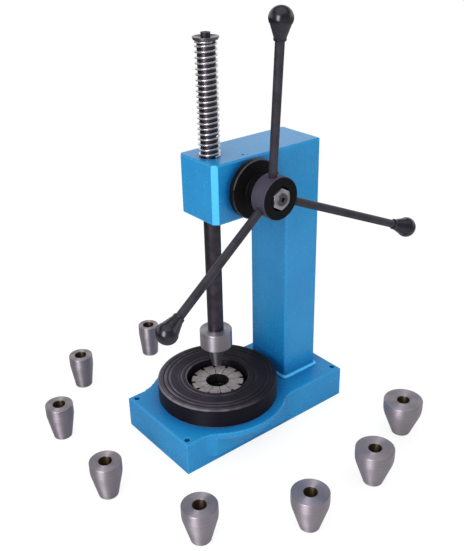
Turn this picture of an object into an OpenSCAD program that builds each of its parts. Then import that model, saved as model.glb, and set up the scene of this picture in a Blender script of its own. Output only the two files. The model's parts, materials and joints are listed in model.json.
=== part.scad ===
// Hand press for sizing bangles: a rack and pinion pushes a nose down onto
// tapered mandrels, which spread the jaws of a split collet inside a heavy ring.
// Millimetres. The origin is the middle of the base on its underside, +Z is up,
// -Y is the front where the user stands and +X is the side with the hub.

/* [Base] */
// Width of the base
base_w = 140; // [130:1:180]
// Length of the base from front to back
base_l = 280; // [270:1:340]
// Height of the base
base_h = 46; // [30:1:60]
// Bevel along the top edges of the base
base_edge = 2; // [0.5:0.5:4]
// Radius of the round table that flares out of the base under the ring
table_r = 97; // [92:1:110]
// Height of the upright rim of the table
table_rim_h = 8; // [4:1:14]
// Height above the bench at which the flare of the table starts
flare_start = 4; // [1:1:10]
// Radius of the curve that leads from the table into the sides
table_fillet_r = 25; // [10:1:40]
// Diameter of the four holes that bolt the base to a bench
bolt_hole_d = 8; // [5:0.5:10]
// Distance of the bolt holes from the sides
bolt_inset_side = 10; // [8:0.5:16]
// Distance of the bolt holes from the ends
bolt_inset_end = 8; // [7:0.5:16]
// Diameter of the hole that lets a mandrel drop through the base
drop_hole_d = 40; // [36:1:50]

/* [Upright] */
// Width of the column and the head
upright_w = 73; // [60:1:90]
// Depth of the column
column_d = 59; // [40:1:70]
// Distance from the back of the column to the back of the base
column_setback = 22; // [12:1:30]
// Leg of the weld bead round the foot of the column
weld_leg = 5; // [2:0.5:8]
// Height of the underside of the head above the bench
head_bottom = 317; // [290:1:360]
// Height of the head
head_h = 76; // [74:1:100]
// Gap between the ring and the weld at the foot of the column
throat_gap = 5.5; // [1:0.5:20]
// Distance that the head reaches in front of the ram
head_reach = 22; // [18:1:30]
// Bevel along the edges of the column and the top of the head
upright_edge = 2; // [0.5:0.5:4]
// Bevel of the two upright edges at the front of the head
head_front_edge = 6; // [1:0.5:8]

/* [Ram] */
// Diameter of the ram
ram_d = 21.5; // [18:0.5:24]
// Height of the top of the ram above the bench
ram_top = 531; // [500:1:560]
// Travel of the ram
stroke = 45; // [20:1:48]
// Wall of the two bushes that guide the ram
ram_bush_wall = 2.5; // [2:0.5:4]
// Length of each bush that guides the ram
ram_bush_l = 15; // [8:1:17]

/* [Rack and pinion] */
// Module of the teeth
tooth_module = 2.5; // [2:0.25:2.5]
// Teeth on the pinion
pinion_teeth = 21; // [19:1:21]
// Width of the pinion
pinion_w = 24; // [16:1:26]
// Depth of the flat on the ram that carries the rack
rack_flat = 1.5; // [0.5:0.05:2]
// Play between the teeth of the rack and the pinion
backlash = 0.3; // [0.2:0.05:0.5]
// Gap between the tips of the pinion and its chamber
chamber_gap = 1.25; // [1:0.25:2]

/* [Shaft and hub] */
// Diameter of the pinion shaft in its bushes
shaft_d = 20; // [16:0.5:22]
// Diameter of the seat of the hub on the shaft
hub_seat_d = 18; // [14:0.5:18]
// Diameter of the thread at the end of the shaft
shaft_thread_d = 16; // [10:1:16]
// Diameter of the centre hole in the end of the shaft
centre_hole_d = 6; // [2:0.5:6]
// Wall of the bushes that carry the shaft
shaft_bush_wall = 3; // [2:0.5:4]
// Thickness of the head behind the blind end of the rear bush
rear_wall = 4; // [2:0.5:6]
// Thickness of the two thrust washers beside the pinion
thrust_washer_t = 1.5; // [1:0.25:2]
// Outer diameter of the two thrust washers
thrust_washer_d = 38; // [30:1:44]
// Diameter of the bearing flange on the side of the head
flange_d = 75.5; // [68:0.5:78]
// Thickness of the bearing flange
flange_t = 8.5; // [4:0.5:12]
// Gap between the bearing flange and the head, which a boss fills
flange_gap = 5.5; // [0.5:0.5:8]
// Diameter of the boss between the bearing flange and the head
flange_boss_d = 62; // [60:1:66]
// Diameter of the sleeve of the bearing flange that reaches out to the hub
sleeve_d = 36; // [32:1:44]
// Distance from the side of the head to the back of the hub
hub_standoff = 33; // [25:1:45]
// Diameter of the hub
hub_d = 53.5; // [48:0.5:64]
// Length of the hub
hub_l = 24; // [20:1:32]
// Bevel along the two rims of the hub
hub_edge = 1.5; // [0.5:0.5:3]
// Thickness of the washer behind the hub
hub_washer_t = 1; // [0.5:0.25:2]
// Width and height of the two drive keys
key_size = 6; // [4:1:6]
// Length of the two drive keys
key_l = 14; // [10:1:15]
// Size across the flats of the hub nut
nut_flats = 24; // [20:1:27]
// Thickness of the hub nut
nut_t = 8; // [5:0.5:13]
// Depth of the recess in the hub that takes the nut
nut_recess = 5.5; // [0.5:0.5:6]
// Distance that the end of the shaft stands out of the nut
shaft_proud = 1.5; // [0.5:0.5:4]
// Diameter of the screw that locks the bearing flange
lock_screw_d = 4; // [3:1:5]
// Distance of the lock screw from the side of the head
lock_screw_inset = 13; // [8:0.5:16]
// Diameter of the oil hole beside the lock screw
oil_hole_d = 2.5; // [1.5:0.5:3]

/* [Handles] */
// Distance from the axis of the hub to the widest part of a knob
handle_l = 219; // [160:1:240]
// Angle by which the handles lean away from the head
handle_rake = 12.5; // [0:0.5:14]
// Diameter of the handle rods
rod_d = 10.5; // [7:0.5:11]
// Diameter of the widest part of a knob
knob_d = 26.5; // [20:0.5:34]
// Diameter of the small end of the cone of a knob
knob_neck_d = 12; // [11.5:0.1:16]
// Distance from the small end of a knob to its widest part
knob_neck_l = 23.5; // [20:0.5:34]
// Height of the rounded end of a knob above its widest part
knob_dome_h = 12.5; // [8:0.5:14]
// Distance from the widest part of a knob to the crease where its cone starts
knob_crease = 4.4; // [2:0.2:7]
// Overhang of the rounded end past the cone of a knob
knob_lip = 0.5; // [0.2:0.1:1.5]
// Length of the rim at the small end of a knob
knob_rim_l = 2.5; // [1:0.5:6]
// Height of the rim at the small end of a knob
knob_rim_h = 0.3; // [0.2:0.1:1.5]

/* [Return spring] */
// Diameter of the spring wire
wire_d = 2.5; // [1:0.25:3]
// Play between the spring and the ram
spring_play = 0.25; // [0.25:0.25:2]
// Turns of the spring
spring_turns = 22; // [12:1:24]
// Distance that the cap reaches past the spring
cap_overhang = 1.25; // [0.5:0.25:4]
// Thickness of the cap
cap_t = 3.5; // [2:0.5:5]
// Depth of the dish in the top of the cap
cap_dish = 1.2; // [0.2:0.1:1.6]
// Diameter of the thread of the cap screw
cap_screw_d = 6; // [4:1:6]

/* [Nose] */
// Height of the tip of the nose above the bench
nose_tip_z = 92; // [88:1:110]
// Length of the tapered nose
nose_l = 32; // [24:1:40]
// Diameter of the tip of the nose
nose_tip_d = 12.5; // [6:0.5:16]
// Diameter of the nose where it meets its collar
nose_root_d = 25; // [18:0.5:28]
// Diameter of the collar
collar_d = 44; // [38:0.5:50]
// Height of the collar
collar_h = 25; // [20:0.5:34]
// Depth of the socket in the collar that takes the ram
ram_socket = 13; // [11:0.5:14]
// Diameter of the shank that holds the nose in the collar
nose_shank_d = 12; // [8:0.5:14]
// Diameter of the screw that locks the collar to the ram
collar_screw_d = 6; // [4:1:8]

/* [Ring and collet] */
// Diameter of the ring
ring_d = 167; // [160:1:180]
// Height of the ring
ring_h = 28; // [24:1:36]
// Radius of the worn outer edge of the ring
ring_edge_r = 2; // [1:0.5:7]
// Radius of the single turned groove round the hole of the ring
inner_groove_r = 53; // [48:0.5:60]
// Radius of the first of the two turned grooves near the edge of the ring
groove_r = 69.5; // [63:0.5:72]
// Distance between the two turned grooves near the edge
groove_step = 6; // [3:0.5:7]
// Width of the turned grooves
groove_w = 1.2; // [0.5:0.1:2]
// Outer diameter of the closed collet
collet_d = 73.5; // [68:0.5:74]
// Diameter of the bore of the closed collet
collet_bore_d = 32; // [28:0.5:36]
// Distance of the top of the collet below the top of the ring
collet_drop = 8.2; // [1:0.1:10]
// Width of the slits between the closed jaws
slit_w = 0.8; // [0.5:0.1:1.5]
// Width of the notches at the outer ends of the slits
notch_w = 4.4; // [2:0.2:5]
// Depth of the notches at the outer ends of the slits
notch_l = 6; // [3:0.5:8]
// Outward travel of each jaw
jaw_travel = 5.5; // [2:0.5:8]
// Thickness of the plate on which the jaws slide
guide_plate_t = 6; // [5:0.5:8]
// Width of the guide rib under each jaw
jaw_rib_w = 4; // [3:0.5:5]
// Height of the guide rib under each jaw
jaw_rib_h = 2.5; // [1.5:0.5:3]
// Thickness of the garter spring that closes the jaws
garter_d = 3; // [2:0.5:4]
// Height of the garter spring above the guide plate
garter_rise = 7; // [5:0.5:9]
// Diameter of the four screws that hold the ring
ring_screw_d = 8; // [5:1:8]
// Radius of the circle on which the ring screws lie
ring_screw_r = 65; // [58:1:70]
// Depth of the ring screws in the ring
ring_screw_grip = 14; // [8:1:18]

/* [Mandrels] */
// Distance at which the mandrels stand round the middle of the base
mandrel_reach = 250; // [230:1:400]
// Diameter of the smallest mandrel
mandrel_d = 32; // [28:0.5:40]
// Growth in diameter from one mandrel to the next
mandrel_step = 3; // [1:0.5:4]
// Height of the mandrels
mandrel_h = 52; // [40:1:70]
// Height of the straight land at the top of the mandrels
mandrel_land = 16; // [6:1:24]
// Diameter of the lower end of the mandrels
mandrel_foot_d = 25; // [22:0.5:27]
// Diameter of the bore of the mandrels
mandrel_bore_d = 17; // [10:0.5:18]
// Radius of the curve that leads from the taper of a mandrel into its land
mandrel_blend_r = 36; // [5:1:60]
// Bevel along the edges of the mandrels
mandrel_edge = 1; // [0.5:0.25:1.5]

/* [Hidden] */
$fn = 96;

// Clearances: a shaft in its bush, parts that slide face to face, free ends, screw holes
// and the open jaws inside the ring
running_gap = 0.05;
sliding_gap = 0.1;
free_gap = 0.3;
screw_gap = 0.25;
open_jaw_gap = 0.75;
// Length by which a cut runs past the face that it opens
past = 1;

// Angles of the three handles, from straight up towards the back, at rest
handle_angles = [-8, 112.5, -116.5];
// Places of the mandrels on the bench, smallest first: share of their distance and angle
mandrel_spots = [[0.8573, -176.79], [0.9952, -145.48], [1.0089, -116.36], [0.9611, -82.11],
    [1.0318, -48.77], [1.0031, -19.09], [0.9385, 8.58], [0.94, 36.87]];
mandrel_places = [for (s = mandrel_spots) mandrel_reach * s[0] * [cos(s[1]), sin(s[1])]];
mandrel_count = len(mandrel_places);
handle_last = len(handle_angles) - 1;
jaw_count = 12;
ring_screw_count = 4;
// Place of the oil hole from the lock screw
oil_hole_offset = [3, 5];

// Places that several pieces share
side_x = upright_w / 2;
column_back_y = base_l / 2 - column_setback;
column_front_y = column_back_y - column_d;
ram_y = column_front_y - weld_leg - throat_gap - ring_d / 2;
head_front_y = ram_y - head_reach;
head_top = head_bottom + head_h;
ring_top = base_h + ring_h;

// Rack and pinion
tooth_pitch = PI * tooth_module;
pressure_angle = 20;
pitch_r = tooth_module * pinion_teeth / 2;
tip_r = pitch_r + tooth_module;
root_depth = 1.25 * tooth_module;
rack_tip = ram_d / 2 - rack_flat;
rack_line = rack_tip - tooth_module;
chamber_r = tip_r + chamber_gap;
ram_bush_r = ram_d / 2 + ram_bush_wall;

// Axis of the hub and stations along it
hub_y = ram_y + rack_line + pitch_r;
hub_z = head_bottom + head_h / 2;
pinion_side = pinion_w / 2;
chamber_side = pinion_side + thrust_washer_t + 2 * sliding_gap;
shaft_bush_r = shaft_d / 2 + shaft_bush_wall;
shaft_back = -side_x + rear_wall + free_gap;
flange_back = side_x + flange_gap;
flange_front = flange_back + flange_t;
hub_back = side_x + hub_standoff;
hub_front = hub_back + hub_l;
shaft_shoulder = hub_back - hub_washer_t;
sleeve_end = shaft_shoulder - sliding_gap;
nut_seat = hub_front - nut_recess;
nut_front = nut_seat + nut_t;
nut_corners_r = nut_flats / 2 / cos(30);
nut_play = 1;
nut_recess_r = nut_corners_r + nut_play;
lock_screw_x = side_x - lock_screw_inset;
oil_hole_x = lock_screw_x + oil_hole_offset.x;
oil_hole_y = hub_y + oil_hole_offset.y;

// Handles: the rods start behind a wall round the seat of the hub, and leave the rim a little
// in front of its middle
rod_seat_wall = 4;
rod_rim_shift = 1.5;
rod_start = hub_seat_d / 2 + rod_seat_wall;
rod_root_x = (hub_back + hub_front) / 2 - hub_d / 2 * tan(handle_rake) + rod_rim_shift;
knob_grip = 18;

// Return spring
spring_bottom = head_top;
spring_top = ram_top;
curl_rings = 8;
wire_sides = 6;
spring_r = (ram_d / 2 + spring_play + wire_d / 2) / cos(180 / curl_rings);
bend_r = 1.25 * wire_d;
cap_seat_r = spring_r + wire_d / 2;
cap_r = cap_seat_r + cap_overhang;
cap_screw_seat = ram_top + cap_t - cap_dish;
cap_screw_head_r = 0.95 * cap_screw_d;
cap_screw_l = 3 * cap_screw_d;
cap_screw_hole_l = 4 * cap_screw_d;

// Nose and collar
collar_bottom = nose_tip_z + nose_l;
collar_top = collar_bottom + collar_h;
ram_bottom = collar_top - ram_socket;
collar_web = 2;
nose_shank_top = ram_bottom - collar_web;

// Collet
jaw_pitch = 360 / jaw_count;
guide_plate_top = base_h + guide_plate_t;
jaw_bottom = guide_plate_top + sliding_gap;
jaw_top = ring_top - collet_drop;
jaw_r = collet_d / 2;
jaw_bore_r = collet_bore_d / 2;
ring_hole_d = collet_d + 2 * (jaw_travel + open_jaw_gap);
garter_r = jaw_r - garter_d / 2 - screw_gap;
garter_z = guide_plate_top + garter_rise;
rib_inset = 2;
rib_from = drop_hole_d / 2 + rib_inset;
rib_to = jaw_r - rib_inset;

// Ring screws: their heads lie inside the base and their ends stop short of the holes
ring_screw_recess = 1;
ring_screw_end_gap = 1;
ring_screw_head_d = 1.625 * ring_screw_d;
ring_screw_head_h = ring_screw_d;
ring_screw_sink = ring_screw_head_h + ring_screw_recess;

function arc(cx, cy, r, from, to, steps) =
    [for (i = [0 : steps]) let (a = from + (to - from) * i / steps) [cx + r * cos(a), cy + r * sin(a)]];

// Cylinder along the axis of the hub
module hub_axis_cylinder(r, from, to) {
    translate([from, hub_y, hub_z]) rotate([0, 90, 0]) cylinder(r = r, h = to - from);
}

// Cylinder on the axis of the ram
module ram_axis_cylinder(r, from, to) {
    translate([0, ram_y, from]) cylinder(r = r, h = to - from);
}

// Solid of revolution on the axis of the ram, from points [radius, height]
module ram_axis_turned(points) {
    translate([0, ram_y, 0]) rotate_extrude() polygon(points);
}

// Tube between two stations on the axis of the hub
module hub_axis_bush(bore, outer, from, to) {
    difference() {
        hub_axis_cylinder(outer, from, to);
        hub_axis_cylinder(bore, from - past, to + past);
    }
}

// Corner of an outline: two points where it is cut, one where it is left square
function cut_corner(corner, before, after, cut) =
    cut > 0 ? [corner + cut * before, corner + cut * after] : [corner];

// Rectangle from low to high with cut corners, listed from the low corner round
module cut_rectangle(low, high, cuts) {
    polygon(concat(
        cut_corner(low, [0, 1], [1, 0], cuts[0]),
        cut_corner([high.x, low.y], [-1, 0], [0, 1], cuts[1]),
        cut_corner(high, [0, -1], [-1, 0], cuts[2]),
        cut_corner([low.x, high.y], [1, 0], [0, -1], cuts[3])));
}

// Rectangle with its two upper corners cut
module topped_rectangle(low, high, cut) {
    cut_rectangle(low, high, [0, 0, cut, cut]);
}

// Turn a flat shape so that its x lies along Y, its y along Z and its depth along X
module across(width) {
    translate([-width / 2, 0, 0]) rotate([90, 0, 90]) linear_extrude(width) children();
}

// Turn a flat shape so that its x lies along X, its y along Z and its depth along Y
module along(from, to) {
    translate([0, to, 0]) rotate([90, 0, 0]) linear_extrude(to - from) children();
}

// Block of the base with bevelled top edges
module base_block() {
    intersection() {
        along(-base_l / 2, base_l / 2) topped_rectangle([-base_w / 2, 0], [base_w / 2, base_h], base_edge);
        across(base_w) topped_rectangle([-base_l / 2, 0], [base_l / 2, base_h], base_edge);
    }
}

// Round table: an upright rim above a cone that runs back into the base
module table() {
    inner = base_w / 2;
    rim_bottom = base_h - table_rim_h;
    ram_axis_turned(concat(
        [[0, flare_start], [inner, flare_start], [table_r, rim_bottom]],
        arc(table_r - base_edge, base_h - base_edge, base_edge, 0, 90, 4),
        [[0, base_h]]));
}

// Hollow curve that leads from one side of the base into the table, at the front right
module table_lead() {
    side = base_w / 2;
    reach = table_r + table_fillet_r;
    run = sqrt(pow(reach, 2) - pow(side + table_fillet_r, 2));
    touch = [(side + table_fillet_r) * table_r / reach, run * table_r / reach];
    rim_bottom = base_h - table_rim_h;
    slope = (rim_bottom - flare_start) / (table_r - side);
    lead_bottom = flare_start + (touch.x - side) * slope;
    inner = side - base_edge;
    difference() {
        translate([0, ram_y, lead_bottom]) linear_extrude(base_h - lead_bottom)
            polygon([[inner, 0], [touch.x, 0], [touch.x, -touch.y], [side, -run], [inner, -run]]);
        translate([side + table_fillet_r, ram_y - run, 0]) cylinder(r = table_fillet_r, h = base_h + past);
    }
}

module bolt_holes() {
    for (x = [-1, 1], y = [-1, 1])
        translate([x * (base_w / 2 - bolt_inset_side), y * (base_l / 2 - bolt_inset_end), -past])
            cylinder(d = bolt_hole_d, h = base_h + 2 * past);
}

// Places of the ring screws round the axis of the ram
module at_ring_screws() {
    for (i = [0 : ring_screw_count - 1])
        translate([0, ram_y, 0]) rotate((i + 0.5) * 360 / ring_screw_count)
            translate([ring_screw_r, 0, 0]) children();
}

module base() {
    color([0.22, 0.50, 0.74]) difference() {
        union() {
            base_block();
            table();
            for (s = [0, 1]) mirror([s, 0, 0]) {
                table_lead();
                translate([0, ram_y, 0]) mirror([0, 1, 0]) translate([0, -ram_y, 0]) table_lead();
            }
        }
        bolt_holes();
        ram_axis_cylinder(drop_hole_d / 2, -past, base_h + past);
        at_ring_screws() {
            translate([0, 0, -past])
                cylinder(d = ring_screw_d + 2 * screw_gap, h = base_h + 2 * past);
            translate([0, 0, -past])
                cylinder(d = ring_screw_head_d + 2 * screw_gap, h = ring_screw_sink + past);
        }
    }
}

module column_outline() {
    cuts = [upright_edge, upright_edge, upright_edge, upright_edge];
    cut_rectangle([-side_x, column_front_y], [side_x, column_back_y], cuts);
}

module column() {
    color([0.20, 0.50, 0.73]) translate([0, 0, base_h]) linear_extrude(head_bottom - base_h)
        column_outline();
}

// Weld bead: a sloping skirt round the foot of the column
module foot_weld() {
    color([0.20, 0.48, 0.72]) difference() {
        intersection() {
            along(column_front_y - weld_leg, column_back_y + weld_leg)
                polygon([[-side_x - weld_leg, base_h], [side_x + weld_leg, base_h],
                    [side_x, base_h + weld_leg], [-side_x, base_h + weld_leg]]);
            across(upright_w + 2 * weld_leg)
                polygon([[column_front_y - weld_leg, base_h], [column_back_y + weld_leg, base_h],
                    [column_back_y, base_h + weld_leg], [column_front_y, base_h + weld_leg]]);
        }
        translate([0, 0, base_h - past]) linear_extrude(weld_leg + 2 * past) column_outline();
    }
}

// Head: carries the ram between two bushes and holds the pinion in a chamber bored from the side
module head() {
    color([0.12, 0.49, 0.77]) difference() {
        intersection() {
            translate([0, 0, head_bottom]) linear_extrude(head_h)
                cut_rectangle([-side_x, head_front_y], [side_x, column_back_y],
                    [head_front_edge, head_front_edge, upright_edge, upright_edge]);
            along(head_front_y, column_back_y)
                topped_rectangle([-side_x, head_bottom], [side_x, head_top], upright_edge);
            across(upright_w)
                topped_rectangle([head_front_y, head_bottom], [column_back_y, head_top], upright_edge);
        }
        ram_axis_cylinder(ram_bush_r, head_bottom - past, head_top + past);
        hub_axis_cylinder(chamber_r, -chamber_side, side_x + past);
        hub_axis_cylinder(shaft_bush_r, -side_x + rear_wall, 0);
        translate([lock_screw_x, hub_y, hub_z]) cylinder(d = lock_screw_d, h = head_h);
        translate([oil_hole_x, oil_hole_y, hub_z]) cylinder(d = oil_hole_d, h = head_h);
    }
}

// Bush of the ram, cut back where the chamber of the pinion reaches it
module ram_bush(from) {
    color([0.72, 0.55, 0.28]) difference() {
        ram_axis_cylinder(ram_bush_r, from, from + ram_bush_l);
        ram_axis_cylinder(ram_d / 2 + running_gap, from - past, from + ram_bush_l + past);
        hub_axis_cylinder(chamber_r, -chamber_side, side_x);
    }
}

module upper_ram_bush() {
    ram_bush(head_top - ram_bush_l);
}

module lower_ram_bush() {
    ram_bush(head_bottom);
}

// Bearing flange: closes the chamber and carries the shaft out to the hub
module bearing_flange() {
    edge = 0.8;
    color([0.07, 0.07, 0.08]) difference() {
        union() {
            hub_axis_cylinder(chamber_r, chamber_side, side_x);
            hub_axis_cylinder(flange_boss_d / 2, side_x, flange_back);
            hub_axis_cylinder(flange_d / 2, flange_back, flange_front - edge);
            translate([flange_front - edge, hub_y, hub_z]) rotate([0, 90, 0])
                cylinder(r1 = flange_d / 2, r2 = flange_d / 2 - edge, h = edge);
            hub_axis_cylinder(sleeve_d / 2, flange_front - edge, sleeve_end);
        }
        hub_axis_cylinder(shaft_bush_r, chamber_side - past, sleeve_end + past);
        translate([oil_hole_x, oil_hole_y, hub_z]) cylinder(d = oil_hole_d, h = head_h);
    }
}

module flange_lock_screw() {
    socket_d = 0.5 * lock_screw_d;
    recess = 0.5;
    top = head_top - recess;
    color([0.15, 0.15, 0.17]) translate([lock_screw_x, hub_y, 0]) difference() {
        translate([0, 0, hub_z + chamber_r]) cylinder(d = lock_screw_d, h = top - hub_z - chamber_r);
        translate([0, 0, top - socket_d]) cylinder(d = socket_d, h = socket_d + past, $fn = 6);
    }
}

module front_shaft_bush() {
    color([0.72, 0.55, 0.28])
        hub_axis_bush(shaft_d / 2 + running_gap, shaft_bush_r, chamber_side, sleeve_end);
}

module rear_shaft_bush() {
    color([0.72, 0.55, 0.28])
        hub_axis_bush(shaft_d / 2 + running_gap, shaft_bush_r, -side_x + rear_wall, -chamber_side);
}

module thrust_washers() {
    from = pinion_side + sliding_gap;
    color([0.74, 0.58, 0.30]) for (s = [0, 1]) mirror([s, 0, 0])
        hub_axis_bush(shaft_d / 2 + free_gap, thrust_washer_d / 2, from, from + thrust_washer_t);
}

// The two drive keys lie on the underside of the shaft, in the pinion and in the hub
module key_at(x, seat_r) {
    translate([x - key_l / 2, hub_y - key_size / 2, hub_z - seat_r - key_size / 2])
        cube([key_l, key_size, key_size]);
}

module pinion_key() {
    key_at(0, shaft_d / 2);
}

module hub_key() {
    key_at((hub_back + nut_seat) / 2, hub_seat_d / 2);
}

module drive_keys() {
    color([0.55, 0.56, 0.58]) {
        pinion_key();
        hub_key();
    }
}

module pinion_shaft() {
    thread_runout = 2;
    centre_hole_l = 6;
    end_bevel = 1;
    shaft_end = nut_front + shaft_proud;
    thread_start = nut_seat - thread_runout;
    color([0.60, 0.60, 0.62]) difference() {
        union() {
            hub_axis_cylinder(shaft_d / 2, shaft_back, shaft_shoulder);
            hub_axis_cylinder(hub_seat_d / 2, shaft_shoulder, thread_start);
            hub_axis_cylinder(shaft_thread_d / 2, thread_start, shaft_end - end_bevel);
            translate([shaft_end - end_bevel, hub_y, hub_z]) rotate([0, 90, 0])
                cylinder(d1 = shaft_thread_d, d2 = shaft_thread_d - 2 * end_bevel, h = end_bevel);
        }
        hub_axis_cylinder(centre_hole_d / 2, shaft_end - centre_hole_l, shaft_end + past);
        pinion_key();
        hub_key();
    }
}

// Outline of the pinion: involute flanks from the base circle, with a tooth on the -X side
function involute_angle(r, base_r) =
    let (roll = sqrt(pow(r / base_r, 2) - 1)) roll * 180 / PI - atan(roll);
function pinion_outline() =
    let (
        base_r = pitch_r * cos(pressure_angle),
        root_r = pitch_r - root_depth,
        half = (tooth_pitch / 2 - backlash / 2) / 2 / pitch_r * 180 / PI,
        at_base = half + involute_angle(pitch_r, base_r),
        steps = 5,
        radii = [for (i = [0 : steps]) base_r + (tip_r - base_r) * i / steps],
        flank = [for (r = radii) [r, at_base - involute_angle(r, base_r)]])
    [for (t = [0 : pinion_teeth - 1])
        let (middle = 180 + t * 360 / pinion_teeth)
        each concat(
            [[root_r, middle - at_base]],
            [for (i = [0 : steps]) [flank[i][0], middle - flank[i][1]]],
            [for (i = [steps : -1 : 0]) [flank[i][0], middle + flank[i][1]]],
            [[root_r, middle + at_base]])];

module pinion() {
    color([0.58, 0.58, 0.60]) difference() {
        translate([0, hub_y, hub_z]) across(pinion_w)
            polygon([for (p = pinion_outline()) [p[0] * cos(p[1]), p[0] * sin(p[1])]]);
        hub_axis_cylinder(shaft_d / 2, -pinion_w, pinion_w);
        pinion_key();
    }
}

// Direction of a handle: up at angle 0, leaning out of the head by the rake
module along_handle(i) {
    translate([rod_root_x, hub_y, hub_z]) rotate([-handle_angles[i], 0, 0]) rotate([0, handle_rake, 0])
        children();
}

module hub() {
    color([0.08, 0.08, 0.09]) difference() {
        translate([hub_back, hub_y, hub_z]) rotate([0, 90, 0]) rotate_extrude() polygon([
            [0, 0], [hub_d / 2 - hub_edge, 0], [hub_d / 2, hub_edge],
            [hub_d / 2, hub_l - hub_edge], [hub_d / 2 - hub_edge, hub_l], [0, hub_l]]);
        hub_axis_cylinder(hub_seat_d / 2, hub_back - past, hub_front + past);
        hub_axis_cylinder(nut_recess_r, nut_seat, hub_front + past);
        hub_key();
        for (i = [0 : handle_last]) along_handle(i) translate([0, 0, rod_start])
            cylinder(d = rod_d, h = hub_d);
    }
}

module hub_washer() {
    color([0.10, 0.10, 0.11]) hub_axis_bush(hub_seat_d / 2, sleeve_d / 2, shaft_shoulder, hub_back);
}

// Hexagon nut with a bevelled front, half sunk in the hub
module hub_nut() {
    face_r = nut_flats / 2 - screw_gap;
    bevel = 0.6 * (nut_corners_r - face_r);
    color([0.66, 0.66, 0.68]) difference() {
        translate([nut_seat, hub_y, hub_z]) rotate([0, 90, 0]) intersection() {
            cylinder(r = nut_corners_r, h = nut_t, $fn = 6);
            rotate_extrude() polygon([
                [0, 0], [nut_flats, 0], [nut_flats, nut_t - bevel],
                [nut_corners_r, nut_t - bevel], [face_r, nut_t], [0, nut_t]]);
        }
        hub_axis_cylinder(shaft_thread_d / 2, nut_seat - past, nut_front + past);
    }
}

module handle_rod(i) {
    rod_end = handle_l - knob_neck_l + knob_grip;
    color([0.14, 0.13, 0.14]) along_handle(i) translate([0, 0, rod_start])
        cylinder(d = rod_d, h = rod_end - rod_start);
}

// Knob with a rim, a cone and a rounded end, bored for the rod
module handle_knob(i) {
    neck_z = handle_l - knob_neck_l;
    neck_r = knob_neck_d / 2;
    widest = knob_d / 2;
    crease_angle = -asin(knob_crease / knob_dome_h);
    crease_r = widest * cos(crease_angle);
    dome_steps = 16;
    color([0.05, 0.05, 0.06]) along_handle(i) difference() {
        rotate_extrude() polygon(concat(
            [[0, neck_z], [neck_r + knob_rim_h, neck_z], [neck_r + knob_rim_h, neck_z + knob_rim_l],
                [neck_r, neck_z + knob_rim_l], [crease_r - knob_lip, handle_l - knob_crease]],
            [for (k = [0 : dome_steps]) let (t = crease_angle + (90 - crease_angle) * k / dome_steps)
                [k < dome_steps ? widest * cos(t) : 0, handle_l + knob_dome_h * sin(t)]]));
        translate([0, 0, neck_z - past]) cylinder(d = rod_d, h = knob_grip + past);
    }
}

// Rack: spaces between straight flanks, one of them level with the hub at rest
function rack_space(k) =
    let (
        middle = hub_z + k * tooth_pitch,
        half = tooth_pitch / 4 + backlash / 4,
        top = half + tooth_module * tan(pressure_angle),
        bottom = half - root_depth * tan(pressure_angle))
    [[rack_tip, middle - top], [rack_line - root_depth, middle - bottom],
        [rack_line - root_depth, middle + bottom], [rack_tip, middle + top]];

module rack_cut() {
    spare = 2;
    last = ceil(stroke / tooth_pitch) + spare;
    low = hub_z - (spare + 0.5) * tooth_pitch;
    high = hub_z + (last + 0.5) * tooth_pitch;
    translate([0, ram_y, 0]) across(2 * ram_d) polygon(concat(
        [[ram_d, low], [rack_tip, low]],
        [for (k = [-spare : last]) each rack_space(k)],
        [[rack_tip, high], [ram_d, high]]));
}

module ram() {
    edge = 1;
    color([0.24, 0.23, 0.25]) difference() {
        union() {
            ram_axis_cylinder(ram_d / 2, ram_bottom, ram_top - edge);
            translate([0, ram_y, ram_top - edge]) cylinder(d1 = ram_d, d2 = ram_d - 2 * edge, h = edge);
        }
        rack_cut();
        ram_axis_cylinder(cap_screw_d / 2, ram_top - cap_screw_hole_l, ram_top + past);
    }
}

module nose_collar() {
    edge = 1;
    color([0.66, 0.65, 0.68]) difference() {
        ram_axis_turned([
            [0, collar_bottom], [collar_d / 2 - edge, collar_bottom], [collar_d / 2, collar_bottom + edge],
            [collar_d / 2, collar_top - edge], [collar_d / 2 - edge, collar_top], [0, collar_top]]);
        ram_axis_cylinder(ram_d / 2, ram_bottom, collar_top + past);
        ram_axis_cylinder(nose_shank_d / 2, collar_bottom - past, nose_shank_top);
        collar_screw_hole(0);
    }
}

// The lock screw lies on the side away from the hub and presses on the ram
module collar_screw_hole(recess) {
    translate([0, ram_y, (ram_bottom + collar_top) / 2]) rotate([0, -90, 0])
        translate([0, 0, ram_d / 2]) cylinder(d = collar_screw_d, h = (collar_d - ram_d) / 2 - recess);
}

module collar_lock_screw() {
    socket = 0.5 * collar_screw_d;
    recess = 1.5;
    color([0.12, 0.12, 0.13]) difference() {
        intersection() {
            collar_screw_hole(recess);
            difference() {
                ram_axis_cylinder(collar_d, ram_bottom, collar_top);
                ram_axis_cylinder(ram_d / 2, ram_bottom - past, collar_top + past);
            }
        }
        translate([-collar_d / 2, ram_y, (ram_bottom + collar_top) / 2]) rotate([0, 90, 0])
            cylinder(d = socket, h = recess + socket, $fn = 6);
    }
}

module nose() {
    tip_edge = 0.8;
    color([0.52, 0.51, 0.53]) ram_axis_turned([
        [0, nose_tip_z], [nose_tip_d / 2 - tip_edge, nose_tip_z], [nose_tip_d / 2, nose_tip_z + tip_edge],
        [nose_root_d / 2, collar_bottom], [nose_shank_d / 2, collar_bottom],
        [nose_shank_d / 2, nose_shank_top], [0, nose_shank_top]]);
}

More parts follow.
